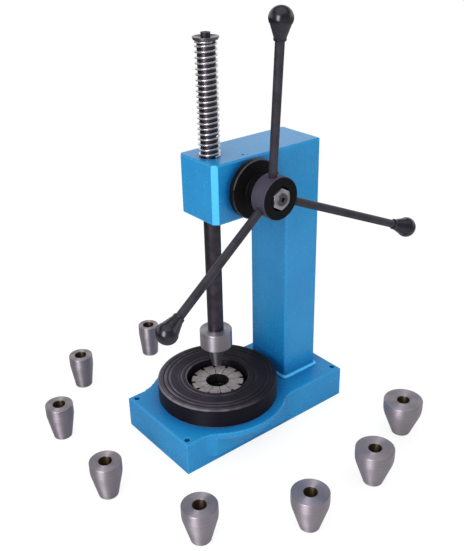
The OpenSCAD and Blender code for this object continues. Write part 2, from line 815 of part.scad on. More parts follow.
// Dished cap that flares out over the spring and holds it down onto the head
module spring_cap() {
    rim = 0.8;
    top = ram_top + cap_t;
    color([0.50, 0.50, 0.53]) difference() {
        ram_axis_turned([
            [0, ram_top], [cap_seat_r, ram_top], [cap_r, top - rim], [cap_r, top], [cap_r - rim, top],
            [cap_screw_head_r + rim, cap_screw_seat], [0, cap_screw_seat]]);
        ram_axis_cylinder(cap_screw_d / 2, ram_top - past, top + past);
    }
}

module cap_screw() {
    head_h = cap_screw_d;
    socket_d = 0.9 * cap_screw_d;
    color([0.12, 0.12, 0.14]) difference() {
        union() {
            ram_axis_cylinder(cap_screw_d / 2, ram_top - cap_screw_l, cap_screw_seat);
            ram_axis_cylinder(cap_screw_head_r, cap_screw_seat, cap_screw_seat + head_h);
        }
        translate([0, ram_y, cap_screw_seat + head_h / 2]) cylinder(d = socket_d, h = head_h, $fn = 6);
    }
}

// Path of the spring as [angle along the coil, height, slope]: each end rises straight for one wire
// diameter, bends over by an arc and then climbs at a steady pitch
spring_bend_steps = 3;
spring_h = spring_top - spring_bottom;
climb_start = wire_d + bend_r;
climb = spring_h - 2 * climb_start;
bend_angle = bend_r / spring_r * 180 / PI;
climb_steps = spring_turns * curl_rings;
function spring_foot() = concat(
    [[0, 0, 90]],
    [for (i = [0 : spring_bend_steps - 1]) let (a = 90 * i / spring_bend_steps)
        [bend_angle * (1 - cos(a)), wire_d + bend_r * sin(a), 90 - a]]);
function spring_path() =
    let (
        foot = spring_foot(),
        coil = [for (i = [0 : climb_steps])
            [bend_angle + 360 * i / curl_rings, climb_start + climb * i / climb_steps, 0]],
        turn = 2 * bend_angle + 360 * spring_turns)
    concat(foot, coil, [for (i = [len(foot) - 1 : -1 : 0])
        [turn - foot[i][0], spring_h - foot[i][1], foot[i][2]]]);
function spring_point(s) = [spring_r * cos(s[0]), spring_r * sin(s[0]), s[1]];
function spring_ring(s) =
    let (
        out = [cos(s[0]), sin(s[0]), 0],
        side = [-sin(s[0]) * sin(s[2]), cos(s[0]) * sin(s[2]), -cos(s[2])])
    [for (k = [0 : wire_sides - 1]) let (a = 360 * k / wire_sides)
        spring_point(s) + wire_d / 2 * (cos(a) * out + sin(a) * side)];

// One unbroken tube along the path, closed at both ends
module return_spring() {
    path = spring_path();
    rings = len(path);
    last = (rings - 1) * wire_sides;
    walls = [for (r = [0 : rings - 2], k = [0 : wire_sides - 1])
        let (a = r * wire_sides + k, b = r * wire_sides + (k + 1) % wire_sides)
        each [[a, b, b + wire_sides], [a, b + wire_sides, a + wire_sides]]];
    ends = [for (k = [1 : wire_sides - 2])
        each [[0, k + 1, k], [last, last + k, last + k + 1]]];
    color([0.80, 0.80, 0.83]) translate([0, ram_y, spring_bottom])
        polyhedron(points = [for (s = path) each spring_ring(s)], faces = concat(walls, ends));
}

// Least gap of the spring to itself, between points at least half a turn apart
spring_points = [for (s = spring_path()) spring_point(s)];
spring_last = len(spring_points) - 1;
spring_gap = min([for (i = [0 : spring_last], j = [i + curl_rings / 2 : 1 : spring_last])
    norm(spring_points[i] - spring_points[j])]) - wire_d;
echo(least_gap_of_the_spring_to_itself = spring_gap);

// Heavy ring with turned grooves and a rounded outer edge
module ring() {
    outer = ring_d / 2;
    hole = ring_hole_d / 2;
    lip = 1.5;
    bevel = 1;
    color([0.13, 0.12, 0.14]) difference() {
        ram_axis_turned(concat(
            [[hole, base_h], [outer - bevel, base_h], [outer, base_h + bevel]],
            arc(outer - ring_edge_r, ring_top - ring_edge_r, ring_edge_r, 0, 90, 6),
            [[hole + lip, ring_top], [hole, ring_top - lip]]));
        for (r = [inner_groove_r, groove_r, groove_r + groove_step]) ram_axis_turned([
            [r, ring_top - groove_w / 2],
            [r + groove_w, ring_top + groove_w / 2],
            [r - groove_w, ring_top + groove_w / 2]]);
        at_ring_screws() translate([0, 0, base_h - past])
            cylinder(d = ring_screw_d, h = ring_screw_grip + past);
    }
}

module ring_screws() {
    socket_d = 0.75 * ring_screw_d;
    low = ring_screw_recess;
    top = base_h + ring_screw_grip - ring_screw_end_gap;
    color([0.13, 0.13, 0.15]) at_ring_screws() difference() {
        union() {
            translate([0, 0, low]) cylinder(d = ring_screw_head_d, h = ring_screw_head_h);
            translate([0, 0, low]) cylinder(d = ring_screw_d, h = top - low);
        }
        translate([0, 0, low - past]) cylinder(d = socket_d, h = ring_screw_head_h / 2 + past, $fn = 6);
    }
}

// Place of jaw i: the slits lie on the axes and every jaw pitch from there
module at_jaw(i) {
    translate([0, ram_y, 0]) rotate((i - 0.5) * jaw_pitch) children();
}

// Plate with a radial groove for the rib of each jaw, which ends where the open jaw stops
module jaw_guide_plate() {
    groove_d = jaw_rib_w + 2 * sliding_gap;
    groove_from = drop_hole_d / 2 - rib_inset;
    groove_to = rib_to + jaw_travel + free_gap;
    color([0.45, 0.45, 0.47]) difference() {
        ram_axis_cylinder(ring_hole_d / 2, base_h, guide_plate_top);
        ram_axis_cylinder(drop_hole_d / 2, base_h - past, guide_plate_top + past);
        for (i = [1 : jaw_count]) at_jaw(i)
            translate([groove_from, -groove_d / 2, guide_plate_top - jaw_rib_h - sliding_gap])
                cube([groove_to - groove_from, groove_d, jaw_rib_h + past]);
    }
}

// One jaw of the collet: a slice of a tube with notched outer corners and a rib below
module jaw(i) {
    garter_room = garter_d / 2 + free_gap;
    half = jaw_pitch / 2;
    lip = 0.8;
    color([0.62, 0.60, 0.60]) at_jaw(i) difference() {
        union() {
            intersection() {
                rotate_extrude() polygon([
                    [jaw_bore_r, jaw_bottom], [jaw_r, jaw_bottom], [jaw_r, jaw_top - lip],
                    [jaw_r - lip, jaw_top], [jaw_bore_r + lip, jaw_top], [jaw_bore_r, jaw_top - lip]]);
                translate([0, 0, jaw_bottom]) linear_extrude(jaw_top - jaw_bottom) polygon([
                    [0, 0], [2 * jaw_r * cos(half), -2 * jaw_r * sin(half)],
                    [2 * jaw_r * cos(half), 2 * jaw_r * sin(half)]]);
            }
            translate([rib_from, -jaw_rib_w / 2, jaw_bottom - jaw_rib_h])
                cube([rib_to - rib_from, jaw_rib_w, jaw_rib_h + past]);
        }
        for (s = [-1, 1]) rotate(s * half) {
            translate([0, -slit_w / 2, jaw_bottom - past]) cube([2 * jaw_r, slit_w, ring_h + 2 * past]);
            translate([jaw_r - notch_l + notch_w / 2, 0, jaw_bottom - past]) {
                cylinder(d = notch_w, h = ring_h + 2 * past, $fn = 48);
                translate([0, -notch_w / 2, 0]) cube([jaw_r, notch_w, ring_h + 2 * past]);
            }
        }
        translate([0, 0, garter_z]) rotate_extrude() translate([garter_r - garter_room, -garter_room])
            square([jaw_r, 2 * garter_room]);
    }
}

// Garter spring round all the jaws, drawn as the ring that it forms
module garter_spring() {
    color([0.70, 0.70, 0.72]) translate([0, ram_y, garter_z]) rotate_extrude()
        translate([garter_r, 0]) circle(d = garter_d, $fn = 32);
}

// Mandrel i: a straight land over a taper, blended by an arc and bored for the nose of the press
module mandrel(i) {
    r = (mandrel_d + (i - 1) * mandrel_step) / 2;
    bore = mandrel_bore_d / 2;
    foot = mandrel_foot_d / 2;
    corner_z = mandrel_h - mandrel_land;
    taper = atan((r - foot) / (corner_z - mandrel_edge));
    blend_z = corner_z + mandrel_blend_r * tan(taper / 2);
    color([0.56, 0.54, 0.57]) translate(concat(mandrel_places[i - 1], 0)) rotate_extrude() polygon(concat(
        [[bore + mandrel_edge, 0], [foot - mandrel_edge, 0], [foot, mandrel_edge]],
        arc(r - mandrel_blend_r, blend_z, mandrel_blend_r, -taper, 0, 6),
        [[r, mandrel_h - mandrel_edge], [r - mandrel_edge, mandrel_h],
            [bore + mandrel_edge, mandrel_h], [bore, mandrel_h - mandrel_edge], [bore, mandrel_edge]]));
}

base();
column();
head();
foot_weld();
ring();
ring_screws();
jaw_guide_plate();
garter_spring();
upper_ram_bush();
lower_ram_bush();
bearing_flange();
flange_lock_screw();
front_shaft_bush();
rear_shaft_bush();
thrust_washers();
pinion_shaft();
pinion();
drive_keys();
hub();
hub_washer();
hub_nut();
for (i = [0 : handle_last]) handle_rod(i);
for (i = [0 : handle_last]) handle_knob(i);
ram();
nose_collar();
nose();
collar_lock_screw();
spring_cap();
cap_screw();
return_spring();
for (i = [1 : jaw_count]) jaw(i);
for (i = [1 : mandrel_count]) mandrel(i);
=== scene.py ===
"""Dressed model of a hand press for sizing bangles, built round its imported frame."""

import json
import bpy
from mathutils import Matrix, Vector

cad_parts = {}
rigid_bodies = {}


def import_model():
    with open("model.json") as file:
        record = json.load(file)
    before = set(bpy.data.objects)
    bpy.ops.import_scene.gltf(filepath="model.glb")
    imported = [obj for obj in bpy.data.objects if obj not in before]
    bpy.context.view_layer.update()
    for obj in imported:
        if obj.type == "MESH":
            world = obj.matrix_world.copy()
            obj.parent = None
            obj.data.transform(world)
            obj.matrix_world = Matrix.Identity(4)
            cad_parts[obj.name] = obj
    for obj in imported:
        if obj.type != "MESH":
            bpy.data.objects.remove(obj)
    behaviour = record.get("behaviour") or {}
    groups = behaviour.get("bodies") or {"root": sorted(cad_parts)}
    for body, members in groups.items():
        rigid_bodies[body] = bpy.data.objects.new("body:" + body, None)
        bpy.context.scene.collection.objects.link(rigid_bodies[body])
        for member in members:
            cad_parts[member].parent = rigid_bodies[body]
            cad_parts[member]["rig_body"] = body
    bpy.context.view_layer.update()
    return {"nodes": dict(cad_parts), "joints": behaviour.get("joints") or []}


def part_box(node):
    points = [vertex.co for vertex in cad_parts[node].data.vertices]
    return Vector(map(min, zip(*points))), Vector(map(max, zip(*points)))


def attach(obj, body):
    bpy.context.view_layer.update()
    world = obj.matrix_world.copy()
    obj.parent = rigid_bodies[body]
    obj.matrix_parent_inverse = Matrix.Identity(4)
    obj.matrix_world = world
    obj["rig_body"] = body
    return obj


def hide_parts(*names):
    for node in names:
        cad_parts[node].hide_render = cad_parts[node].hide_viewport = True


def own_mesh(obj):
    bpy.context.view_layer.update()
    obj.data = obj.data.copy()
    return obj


bl_info = {
    "name": "Bangle sizing press",
    "version": (1, 0, 0),
    "blender": (4, 5, 0),
    "location": "View3D > Sidebar > Press",
    "description": "Dresses the frame of a hand press with turned pieces, springs and finishes",
    "category": "Object",
}

import bpy
import numpy as np
from bpy.props import FloatProperty, FloatVectorProperty, IntProperty, PointerProperty
from mathutils import Matrix, Vector

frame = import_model()

NODES = frame["nodes"]
HANDLES = (1, 2, 3)
JAWS = range(1, 13)
MANDRELS = range(1, 9)
UP = np.array([0.0, 0.0, 1.0])
OUT_OF_HEAD = np.array([1.0, 0.0, 0.0])


# Places taken from the frame

def cad_box(node):
    """Lowest and highest corner of a CAD node, as arrays."""
    return tuple(np.array(corner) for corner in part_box(node))


def cad_points(node):
    """Places of a CAD node's vertices, each of them once."""
    vertices = NODES[node].data.vertices
    places = np.empty(3 * len(vertices), np.float32)
    vertices.foreach_get("co", places)
    return np.unique(places.reshape(-1, 3).round(6), axis=0).astype(float)


def cad_radius(node, direction):
    """Half the size of a CAD node along one of the frame's axes."""
    low, high = cad_box(node)
    return (high - low)[direction] / 2


RING_LOW, RING_HIGH = cad_box("ring")
RAM_AXIS = (RING_LOW + RING_HIGH) / 2 * [1, 1, 0]
HUB_LOW, HUB_HIGH = cad_box("hub")
HUB_AXIS = (HUB_LOW + HUB_HIGH) / 2 * [0, 1, 1]


# Sizes and colours that a user would change

def length(name, description, default):
    """A length in metres."""
    return FloatProperty(name=name, description=description, default=default, min=0, precision=5, unit="LENGTH")


def colour(name, description, default):
    """A linear colour."""
    return FloatVectorProperty(name=name, description=description, default=default, size=3, min=0, max=1,
                               subtype="COLOR")


def place(name, description, default):
    """A point in metres."""
    return FloatVectorProperty(name=name, description=description, default=default, unit="LENGTH")


def amount(name, description, default, **more):
    """A level, a share or a power."""
    return FloatProperty(name=name, description=description, default=default, min=0, **more)


class PressSizes(bpy.types.PropertyGroup):
    """Sizes of the pieces that the boxes of the frame do not give."""

    fine_edge: length("Fine edge", "Rounding of the edges of turned pieces", 0.0005)
    hub_edge: length("Hub edge", "Rounding of the two rims of the hub", 0.0015)
    flange_t: length("Flange thickness", "Thickness of the bearing flange", 0.0085)
    sleeve_r: length("Sleeve radius", "Radius of the sleeve between the flange and the hub", 0.018)
    flange_gap: length("Flange gap", "Gap between the bearing flange and the head", 0.0055)
    boss_r: length("Boss radius", "Radius of the boss between the flange and the head", 0.031)
    nut_recess: length("Nut recess", "Depth of the recess in the hub that takes the nut", 0.0055)
    nut_recess_r: length("Nut recess radius", "Radius of the recess that takes the nut", 0.01486)
    flange_bore_r: length("Flange bore", "Radius of the bore of the bearing flange", 0.013)
    seat_r: length("Seat radius", "Radius of the seat of the hub on its shaft", 0.009)
    knob_neck_r: length("Knob neck", "Radius of the small end of a knob", 0.0067)
    knob_rim_r: length("Knob rim", "Radius of the rim at the small end of a knob", 0.007)
    knob_rim_l: length("Knob rim length", "Length of the rim at the small end of a knob", 0.0025)
    knob_crease: length("Knob crease", "Distance from the widest part of a knob to the end of its cone", 0.0044)
    knob_lip: length("Knob lip", "Overhang of the rounded end of a knob past its cone", 0.0005)
    ring_edge_r: length("Ring edge", "Rounding of the worn outer edge of the ring", 0.002)
    ring_lip: length("Ring lip", "Rounding of the edge of the hole in the ring", 0.0015)
    inner_groove_r: length("Inner groove", "Radius of the groove round the hole of the ring", 0.053)
    groove_r: length("Groove radius", "Radius of the first groove near the edge of the ring", 0.0695)
    groove_step: length("Groove step", "Distance between the grooves near the edge of the ring", 0.006)
    groove_w: length("Groove width", "Half the width of a turned groove of the ring", 0.0015)
    groove_d: length("Groove depth", "Depth of a turned groove of the ring", 0.0008)
    nose_tip_r: length("Nose tip", "Radius of the tip of the nose", 0.00625)
    nose_root_r: length("Nose root", "Radius of the nose under its collar", 0.0125)
    collar_edge: length("Collar edge", "Rounding of the edges of the collar", 0.0009)
    cap_seat_r: length("Cap seat", "Radius of the underside of the spring cap", 0.01451)
    cap_rim: length("Cap rim", "Thickness of the rim of the spring cap", 0.0008)
    cap_dish: length("Cap dish", "Depth of the dish in the spring cap", 0.0012)
    cap_floor_r: length("Cap floor", "Radius of the flat floor of the dish", 0.0065)
    spring_wire: length("Spring wire", "Diameter of the wire of the return spring", 0.0025)
    spring_gap: length("Spring gap", "Play between the return spring and the ram", 0.00025)
    spring_turns: IntProperty(name="Spring turns", description="Turns of the return spring", default=22, min=4)
    garter_wire: length("Garter wire", "Diameter of the wire of the garter spring", 0.0005)
    garter_turns: IntProperty(name="Garter turns", description="Coils of the garter spring on each jaw", default=32,
                              min=4)
    mandrel_foot_r: length("Mandrel foot", "Radius of the lower end of the mandrels", 0.0125)
    mandrel_bore_r: length("Mandrel bore", "Radius of the bore of the mandrels", 0.0085)
    mandrel_land: length("Mandrel land", "Height of the straight land of the mandrels", 0.016)
    mandrel_blend_r: length("Mandrel blend", "Radius between the taper and the land", 0.036)
    mandrel_edge: length("Mandrel edge", "Rounding of the edges of the mandrels", 0.0009)
    weld_ripple: length("Weld ripple", "Height of the ripples of the weld bead", 0.00028)
    weld_pitch: length("Weld pitch", "Distance between the ripples of the weld bead", 0.0042)
    weld_corner_r: length("Weld corner", "Radius of the weld's path at the corners of the column", 0.003)
    weld_tuck: length("Weld tuck", "Depth to which the weld bead reaches into the column", 0.001)


class PressColours(bpy.types.PropertyGroup):
    """Colours of the finishes."""

    paint: colour("Paint", "Enamel of the frame", (0.009, 0.193, 0.42))
    paint_shade: colour("Paint, deep", "Enamel where it lies thicker", (0.007, 0.166, 0.385))
    # Partly a painted highlight: edges and the weld's crest are painted this lighter colour
    paint_edge_thin_and_lit: colour("Paint, edges", "Enamel where it runs thin along edges", (0.06, 0.46, 0.86))
    # Painted shade: corners and places beside other pieces are painted this darker colour
    paint_in_shade: colour("Paint, grime", "Enamel under the oil and dust of the corners", (0.003, 0.085, 0.30))
    # Painted highlight: the bright strip on the front corner of the head
    paint_corner_highlight: colour("Paint, corner", "Thin enamel on the machined front corner of the head", (0.045, 0.385, 0.82))
    ring_black: colour("Ring", "Blackened steel of the ring", (0.006, 0.005, 0.008))
    # Also the painted highlights on the front of the ring's rubbed metal
    worn_and_lit_black: colour("Worn black", "Blackened steel that has been rubbed bare", (0.27, 0.25, 0.28))
    hub_black: colour("Hub", "Black enamel of the hub and the flange", (0.004, 0.004, 0.005))
    # Partly a painted sheen: the lighter colour of the hub's rim
    hub_rim_polish_and_sheen: colour("Hub rim", "Black of the rims that hands have polished", (0.048, 0.042, 0.064))
    rod_black: colour("Rods", "Blackened steel of the handles", (0.016, 0.014, 0.020))
    knob_black: colour("Knobs", "Moulded black of the knobs", (0.006, 0.0055, 0.009))
    steel: colour("Steel", "Turned steel of the mandrels", (0.50, 0.45, 0.51))
    nut: colour("Nut", "Bright steel of the nut", (0.64, 0.60, 0.66))
    shaft: colour("Shaft", "Dull steel of the shaft end and the pinion", (0.1792, 0.168, 0.1848))
    collar: colour("Collar", "Turned steel of the collar", (0.512, 0.48, 0.528))
    # Painted shade: the nose is a darker copy of the collar's steel, standing for the shade under the collar
    nose: colour("Nose", "Darker turned steel of the nose", (0.2432, 0.228, 0.2508))
    cap: colour("Spring cap", "Darker turned steel of the spring cap", (0.224, 0.21, 0.231))
    # Partly painted shade: the darker brown of the insides of bores
    bore: colour("Bores", "Oil-stained steel in the bores", (0.15, 0.115, 0.07))
    dark_steel: colour("Dark steel", "Oiled steel of the ram", (0.095, 0.082, 0.108))
    wire: colour("Wire", "Drawn wire of the springs", (0.86, 0.84, 0.86))
    jaw: colour("Jaws", "Ground steel of the collet", (0.58, 0.53, 0.54))
    bronze: colour("Bronze", "Bushes and washers", (0.16, 0.10, 0.04))


class PressStage(bpy.types.PropertyGroup):
    """Light, floor and camera."""

    ambient: amount("Ambient", "Level of the light from all round", 0.42)
    overhead: amount("Overhead", "Level added to the light from above", 1.3)
    key: amount("Key", "Power of the soft key light", 15, unit="POWER")
    strip: amount("Strip", "Power of the lamp in the key light's place that only shows in gloss", 14, unit="POWER")
    fill: amount("Fill", "Power of the soft fill light, which does not show in gloss", 9, unit="POWER")
    key_place: place("Key place", "Place of the key light", (0.68, -1.45, 0.75))
    key_size: FloatVectorProperty(name="Key size", description="Width and height of the key light",
                                  default=(0.65, 1.3), size=2, unit="LENGTH")
    fill_place: place("Fill place", "Place of the fill light", (2.1, 0.2, 0.9))
    fill_size: length("Fill size", "Width and height of the fill light", 1.4)
    aim: place("Aim", "Point that the lights look at", (0.0, 0.0, 0.2))
    floor: amount("Floor", "Share of the floor that stays white in the shade", 0.8, max=1)
    room: amount("Room", "Level of the room round the backdrop, in reflections", 0.15, max=1)
    ceiling: amount("Ceiling", "Level of the ceiling, in reflections", 0.7, max=1)
    floor_near: amount("Floor, front", "Level of the floor in front, in reflections", 0.05, max=1)
    floor_far: amount("Floor, back", "Level of the floor behind, in reflections", 0.28, max=1)
    backdrop: FloatVectorProperty(name="Backdrop", description="Direction of the white backdrop",
                                  default=(-0.786, 0.618, 0.0), subtype="DIRECTION")
    floor_back: FloatVectorProperty(name="Floor direction", description="Direction in which the floor grows lighter",
                                    default=(0.785, 0.62, 0.0), subtype="DIRECTION")
    camera_place: place("Camera", "Place of the camera", (0.732901, -0.581121, 0.687582))
    camera_turn: FloatVectorProperty(name="Camera turn", description="Yaw, downward pitch and roll in degrees",
                                     default=(51.817, 26.646, -1.355))
    focal: FloatProperty(name="Lens", description="Focal length in millimetres on a 36 mm frame", default=50.852)


# Shapes

# Points on the arc of a rounded corner, and how far past it the flat is held
ARC_STEPS = 8
HOLD = 0.0003


def rounded(corners, loop=True):
    """Outline through corners (x, y, radius). An arc that touches both sides takes the place of each corner, and a
    point just past each end of the arc keeps the flats flat under smooth shading. An open outline keeps its ends.
    Gives the points and their wear: 1 on outer edges, -1 in hollows and 0 on flats."""
    corners = np.asarray(corners, float)
    place, radius = corners[:, :2], corners[:, 2:]
    sides = np.stack([np.roll(place, 1, axis=0) - place, np.roll(place, -1, axis=0) - place])
    spans = np.linalg.norm(sides, axis=2, keepdims=True)
    back, ahead = sides / spans
    opening = np.arccos(np.clip((back * ahead).sum(1, keepdims=True), -1, 1))
    reach = radius / np.tan(opening / 2)
    middle = back + ahead
    centre = place + middle / np.linalg.norm(middle, axis=1, keepdims=True) * radius / np.sin(opening / 2)
    sweep = (np.pi - opening)[:, None]
    share = np.linspace(0, 1, ARC_STEPS)[None, :, None]
    arc = (np.sin((1 - share) * sweep) * (place + back * reach - centre)[:, None]
           + np.sin(share * sweep) * (place + ahead * reach - centre)[:, None]) / np.sin(sweep) + centre[:, None]
    room = spans - reach - np.stack([np.roll(reach, 1, axis=0), np.roll(reach, -1, axis=0)])
    hold = np.minimum(HOLD, 0.25 * room)
    before = place + back * (reach + hold[0])
    after = place + ahead * (reach + hold[1])
    points = np.concatenate([before[:, None], arc, after[:, None]], axis=1)
    turn = np.sign(ahead[:, 0] * back[:, 1] - ahead[:, 1] * back[:, 0])
    wear = np.zeros(points.shape[:2])
    wear[:, 1:-1] = turn[:, None]
    if loop:
        return points.reshape(-1, 2), wear.ravel()
    points = np.concatenate([place[:1], points[1:-1].reshape(-1, 2), place[-1:]])
    return points, np.concatenate([[0], wear[1:-1].ravel(), [0]])


def grid_faces(rows, columns, row_loop):
    """Four-sided faces over a grid of points whose columns close on themselves, and the (column, row) of each corner
    counted on without a jump at the seam."""
    row = np.arange(rows if row_loop else rows - 1)[:, None]
    column = np.arange(columns)[None, :]
    corner_rows = np.stack(np.broadcast_arrays(row, row, row + 1, row + 1), axis=-1) + 0 * column[..., None]
    corner_columns = np.stack(np.broadcast_arrays(column, column + 1, column + 1, column), axis=-1) + 0 * row[..., None]
    faces = corner_rows % rows * columns + corner_columns % columns
    return faces.reshape(-1, 4), np.stack([corner_columns, corner_rows], axis=-1).reshape(-1, 2)


def piece(name, vertices, faces, surface, **marks):
    """Object from arrays of vertices and faces, with the surface coordinates of each face corner as its UV map, and
    marks such as wear as numbers at its vertices."""
    mesh = bpy.data.meshes.new(name)
    mesh.from_pydata(vertices, [], faces)
    mesh.shade_smooth()
    mesh.uv_layers.new(name="surface").data.foreach_set("uv", np.asarray(surface, np.float32).ravel())
    for mark, values in marks.items():
        mesh.attributes.new(mark, "FLOAT", "POINT").data.foreach_set("value", np.asarray(values, np.float32))
    mesh.validate()
    obj = bpy.data.objects.new(name, mesh)
    bpy.context.scene.collection.objects.link(obj)
    return obj


def square_to(axis):
    """Two directions square to an axis and to each other, right-handed with it."""
    aside = np.array([1.0, 0.0, 0.0]) if abs(axis[2]) > 0.9 else UP
    first = np.cross(aside, axis)
    first = first / np.linalg.norm(first)
    return first, np.cross(axis, first)


def turned(name, corners, origin, axis=UP, sides=96, loop=True):
    """Turned piece: each point (radius, height) of the rounded outline goes round the axis, at
    origin + radius * (cos t * first + sin t * second) + height * axis. A loop closes on itself, and an open outline
    runs from pole to pole, with a fan at each. Its UV map gives turns and metres along the outline, and it is marked
    hollow where it faces the axis."""
    outline, wear = rounded(corners, loop)
    course = np.roll(outline, -1, axis=0) - np.roll(outline, 1, axis=0)
    hollow = np.clip(-course[:, 1] / np.linalg.norm(course, axis=1), 0, 1)
    steps = np.linalg.norm(np.diff(outline, axis=0, append=outline[:1]), axis=1)
    run = np.concatenate([[0], np.cumsum(steps)])
    first, second = square_to(axis)
    turn = np.linspace(0, 2 * np.pi, sides, endpoint=False)[:, None]
    spokes = np.cos(turn) * first + np.sin(turn) * second
    body = outline if loop else outline[1:-1]
    body_run = run if loop else run[1:-2]
    points = origin + body[:, :1, None] * spokes[None] + body[:, 1:, None] * axis
    faces, corner = grid_faces(len(body), sides, loop)
    surface = np.stack([corner[:, 0] / sides, body_run[corner[:, 1]]], axis=1)
    vertices, faces = points.reshape(-1, 3), faces.tolist()
    marks = np.stack([wear, hollow])
    marks_of = np.repeat(marks if loop else marks[:, 1:-1], sides, axis=1)
    if not loop:
        here = np.arange(sides)
        beyond = (here + 1) % sides
        top = (len(body) - 1) * sides
        low_fan = np.stack([np.full(sides, len(vertices)), beyond, here], axis=1)
        high_fan = np.stack([np.full(sides, len(vertices) + 1), top + here, top + beyond], axis=1)
        vertices = np.concatenate([vertices, origin + outline[[0, -1], 1:] * axis])
        faces += low_fan.tolist() + high_fan.tolist()
        fan_turn = np.stack([here + 0.5, here + 1, here, here + 0.5, here, here + 1], axis=1) / sides
        low_run = np.broadcast_to([run[0], run[1], run[1]], (sides, 3))
        high_run = np.broadcast_to([run[-2], run[-3], run[-3]], (sides, 3))
        fans = [np.stack([fan_turn[:, :3], low_run], axis=-1), np.stack([fan_turn[:, 3:], high_run], axis=-1)]
        surface = np.concatenate([surface] + [fan.reshape(-1, 2) for fan in fans])
        marks_of = np.concatenate([marks_of, np.zeros((2, 2))], axis=1)
    return piece(name, vertices, faces, surface, wear=marks_of[0], hollow=marks_of[1])


def wire(name, path, out, radius, sides):
    """Round wire: path + radius * (cos t * out + sin t * side), where out is turned square to the path and side is
    square to both, with a flat face at each end. Its UV map gives turns and metres along the wire."""
    ahead = np.gradient(path, axis=0)
    steps = np.linalg.norm(ahead, axis=1, keepdims=True)
    ahead = ahead / steps
    out = out - (out * ahead).sum(1, keepdims=True) * ahead
    out = out / np.linalg.norm(out, axis=1, keepdims=True)
    side = np.cross(ahead, out)
    turn = np.linspace(0, 2 * np.pi, sides, endpoint=False)[None, :, None]
    points = path[:, None] + radius * (np.cos(turn) * out[:, None] + np.sin(turn) * side[:, None])
    faces, corner = grid_faces(len(path), sides, False)
    run = np.cumsum(steps)
    surface = np.stack([corner[:, 0] / sides, run[corner[:, 1]]], axis=1)
    ends = [np.arange(sides)[::-1], (len(path) - 1) * sides + np.arange(sides)]
    end_surface = [np.stack([np.arange(sides) / sides, np.full(sides, along)], axis=1) for along in run[[0, -1]]]
    return piece(name, points.reshape(-1, 3), faces.tolist() + [end.tolist() for end in ends],
                 np.concatenate([surface] + end_surface))


def stand_in(obj, finish, *nodes):
    """Put a finished piece in the place of CAD nodes: it hides them and rides on their body."""
    obj.data.materials.append(finish)
    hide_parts(*nodes)
    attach(obj, NODES[nodes[0]]["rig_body"])


def coat(finish, *nodes):
    """Give CAD nodes that stay in view their finish."""
    for node in nodes:
        NODES[node].data.materials.clear()
        NODES[node].data.materials.append(finish)


# Shader nodes

class Number:
    """A number in a node tree. Arithmetic on it adds Math nodes."""

    def __init__(self, nodes, socket):
        self.nodes = nodes
        self.socket = socket

    def math(self, operation, *values):
        return self.nodes.number("ShaderNodeMath", {"operation": operation}, dict(enumerate(values)))

    def __add__(self, other):
        return self.math("ADD", self, other)

    def __sub__(self, other):
        return self.math("SUBTRACT", self, other)

    def __rsub__(self, other):
        return self.math("SUBTRACT", other, self)

    def __mul__(self, other):
        return self.math("MULTIPLY", self, other)

    __radd__ = __add__
    __rmul__ = __mul__

    def above(self, other):
        return self.math("MAXIMUM", self, other)

    def span(self, low, high):
        """0 at low, 1 at high and a soft step between them."""
        return self.nodes.number("ShaderNodeMapRange", {"interpolation_type": "SMOOTHSTEP"},
                                 {0: self, 1: low, 2: high})


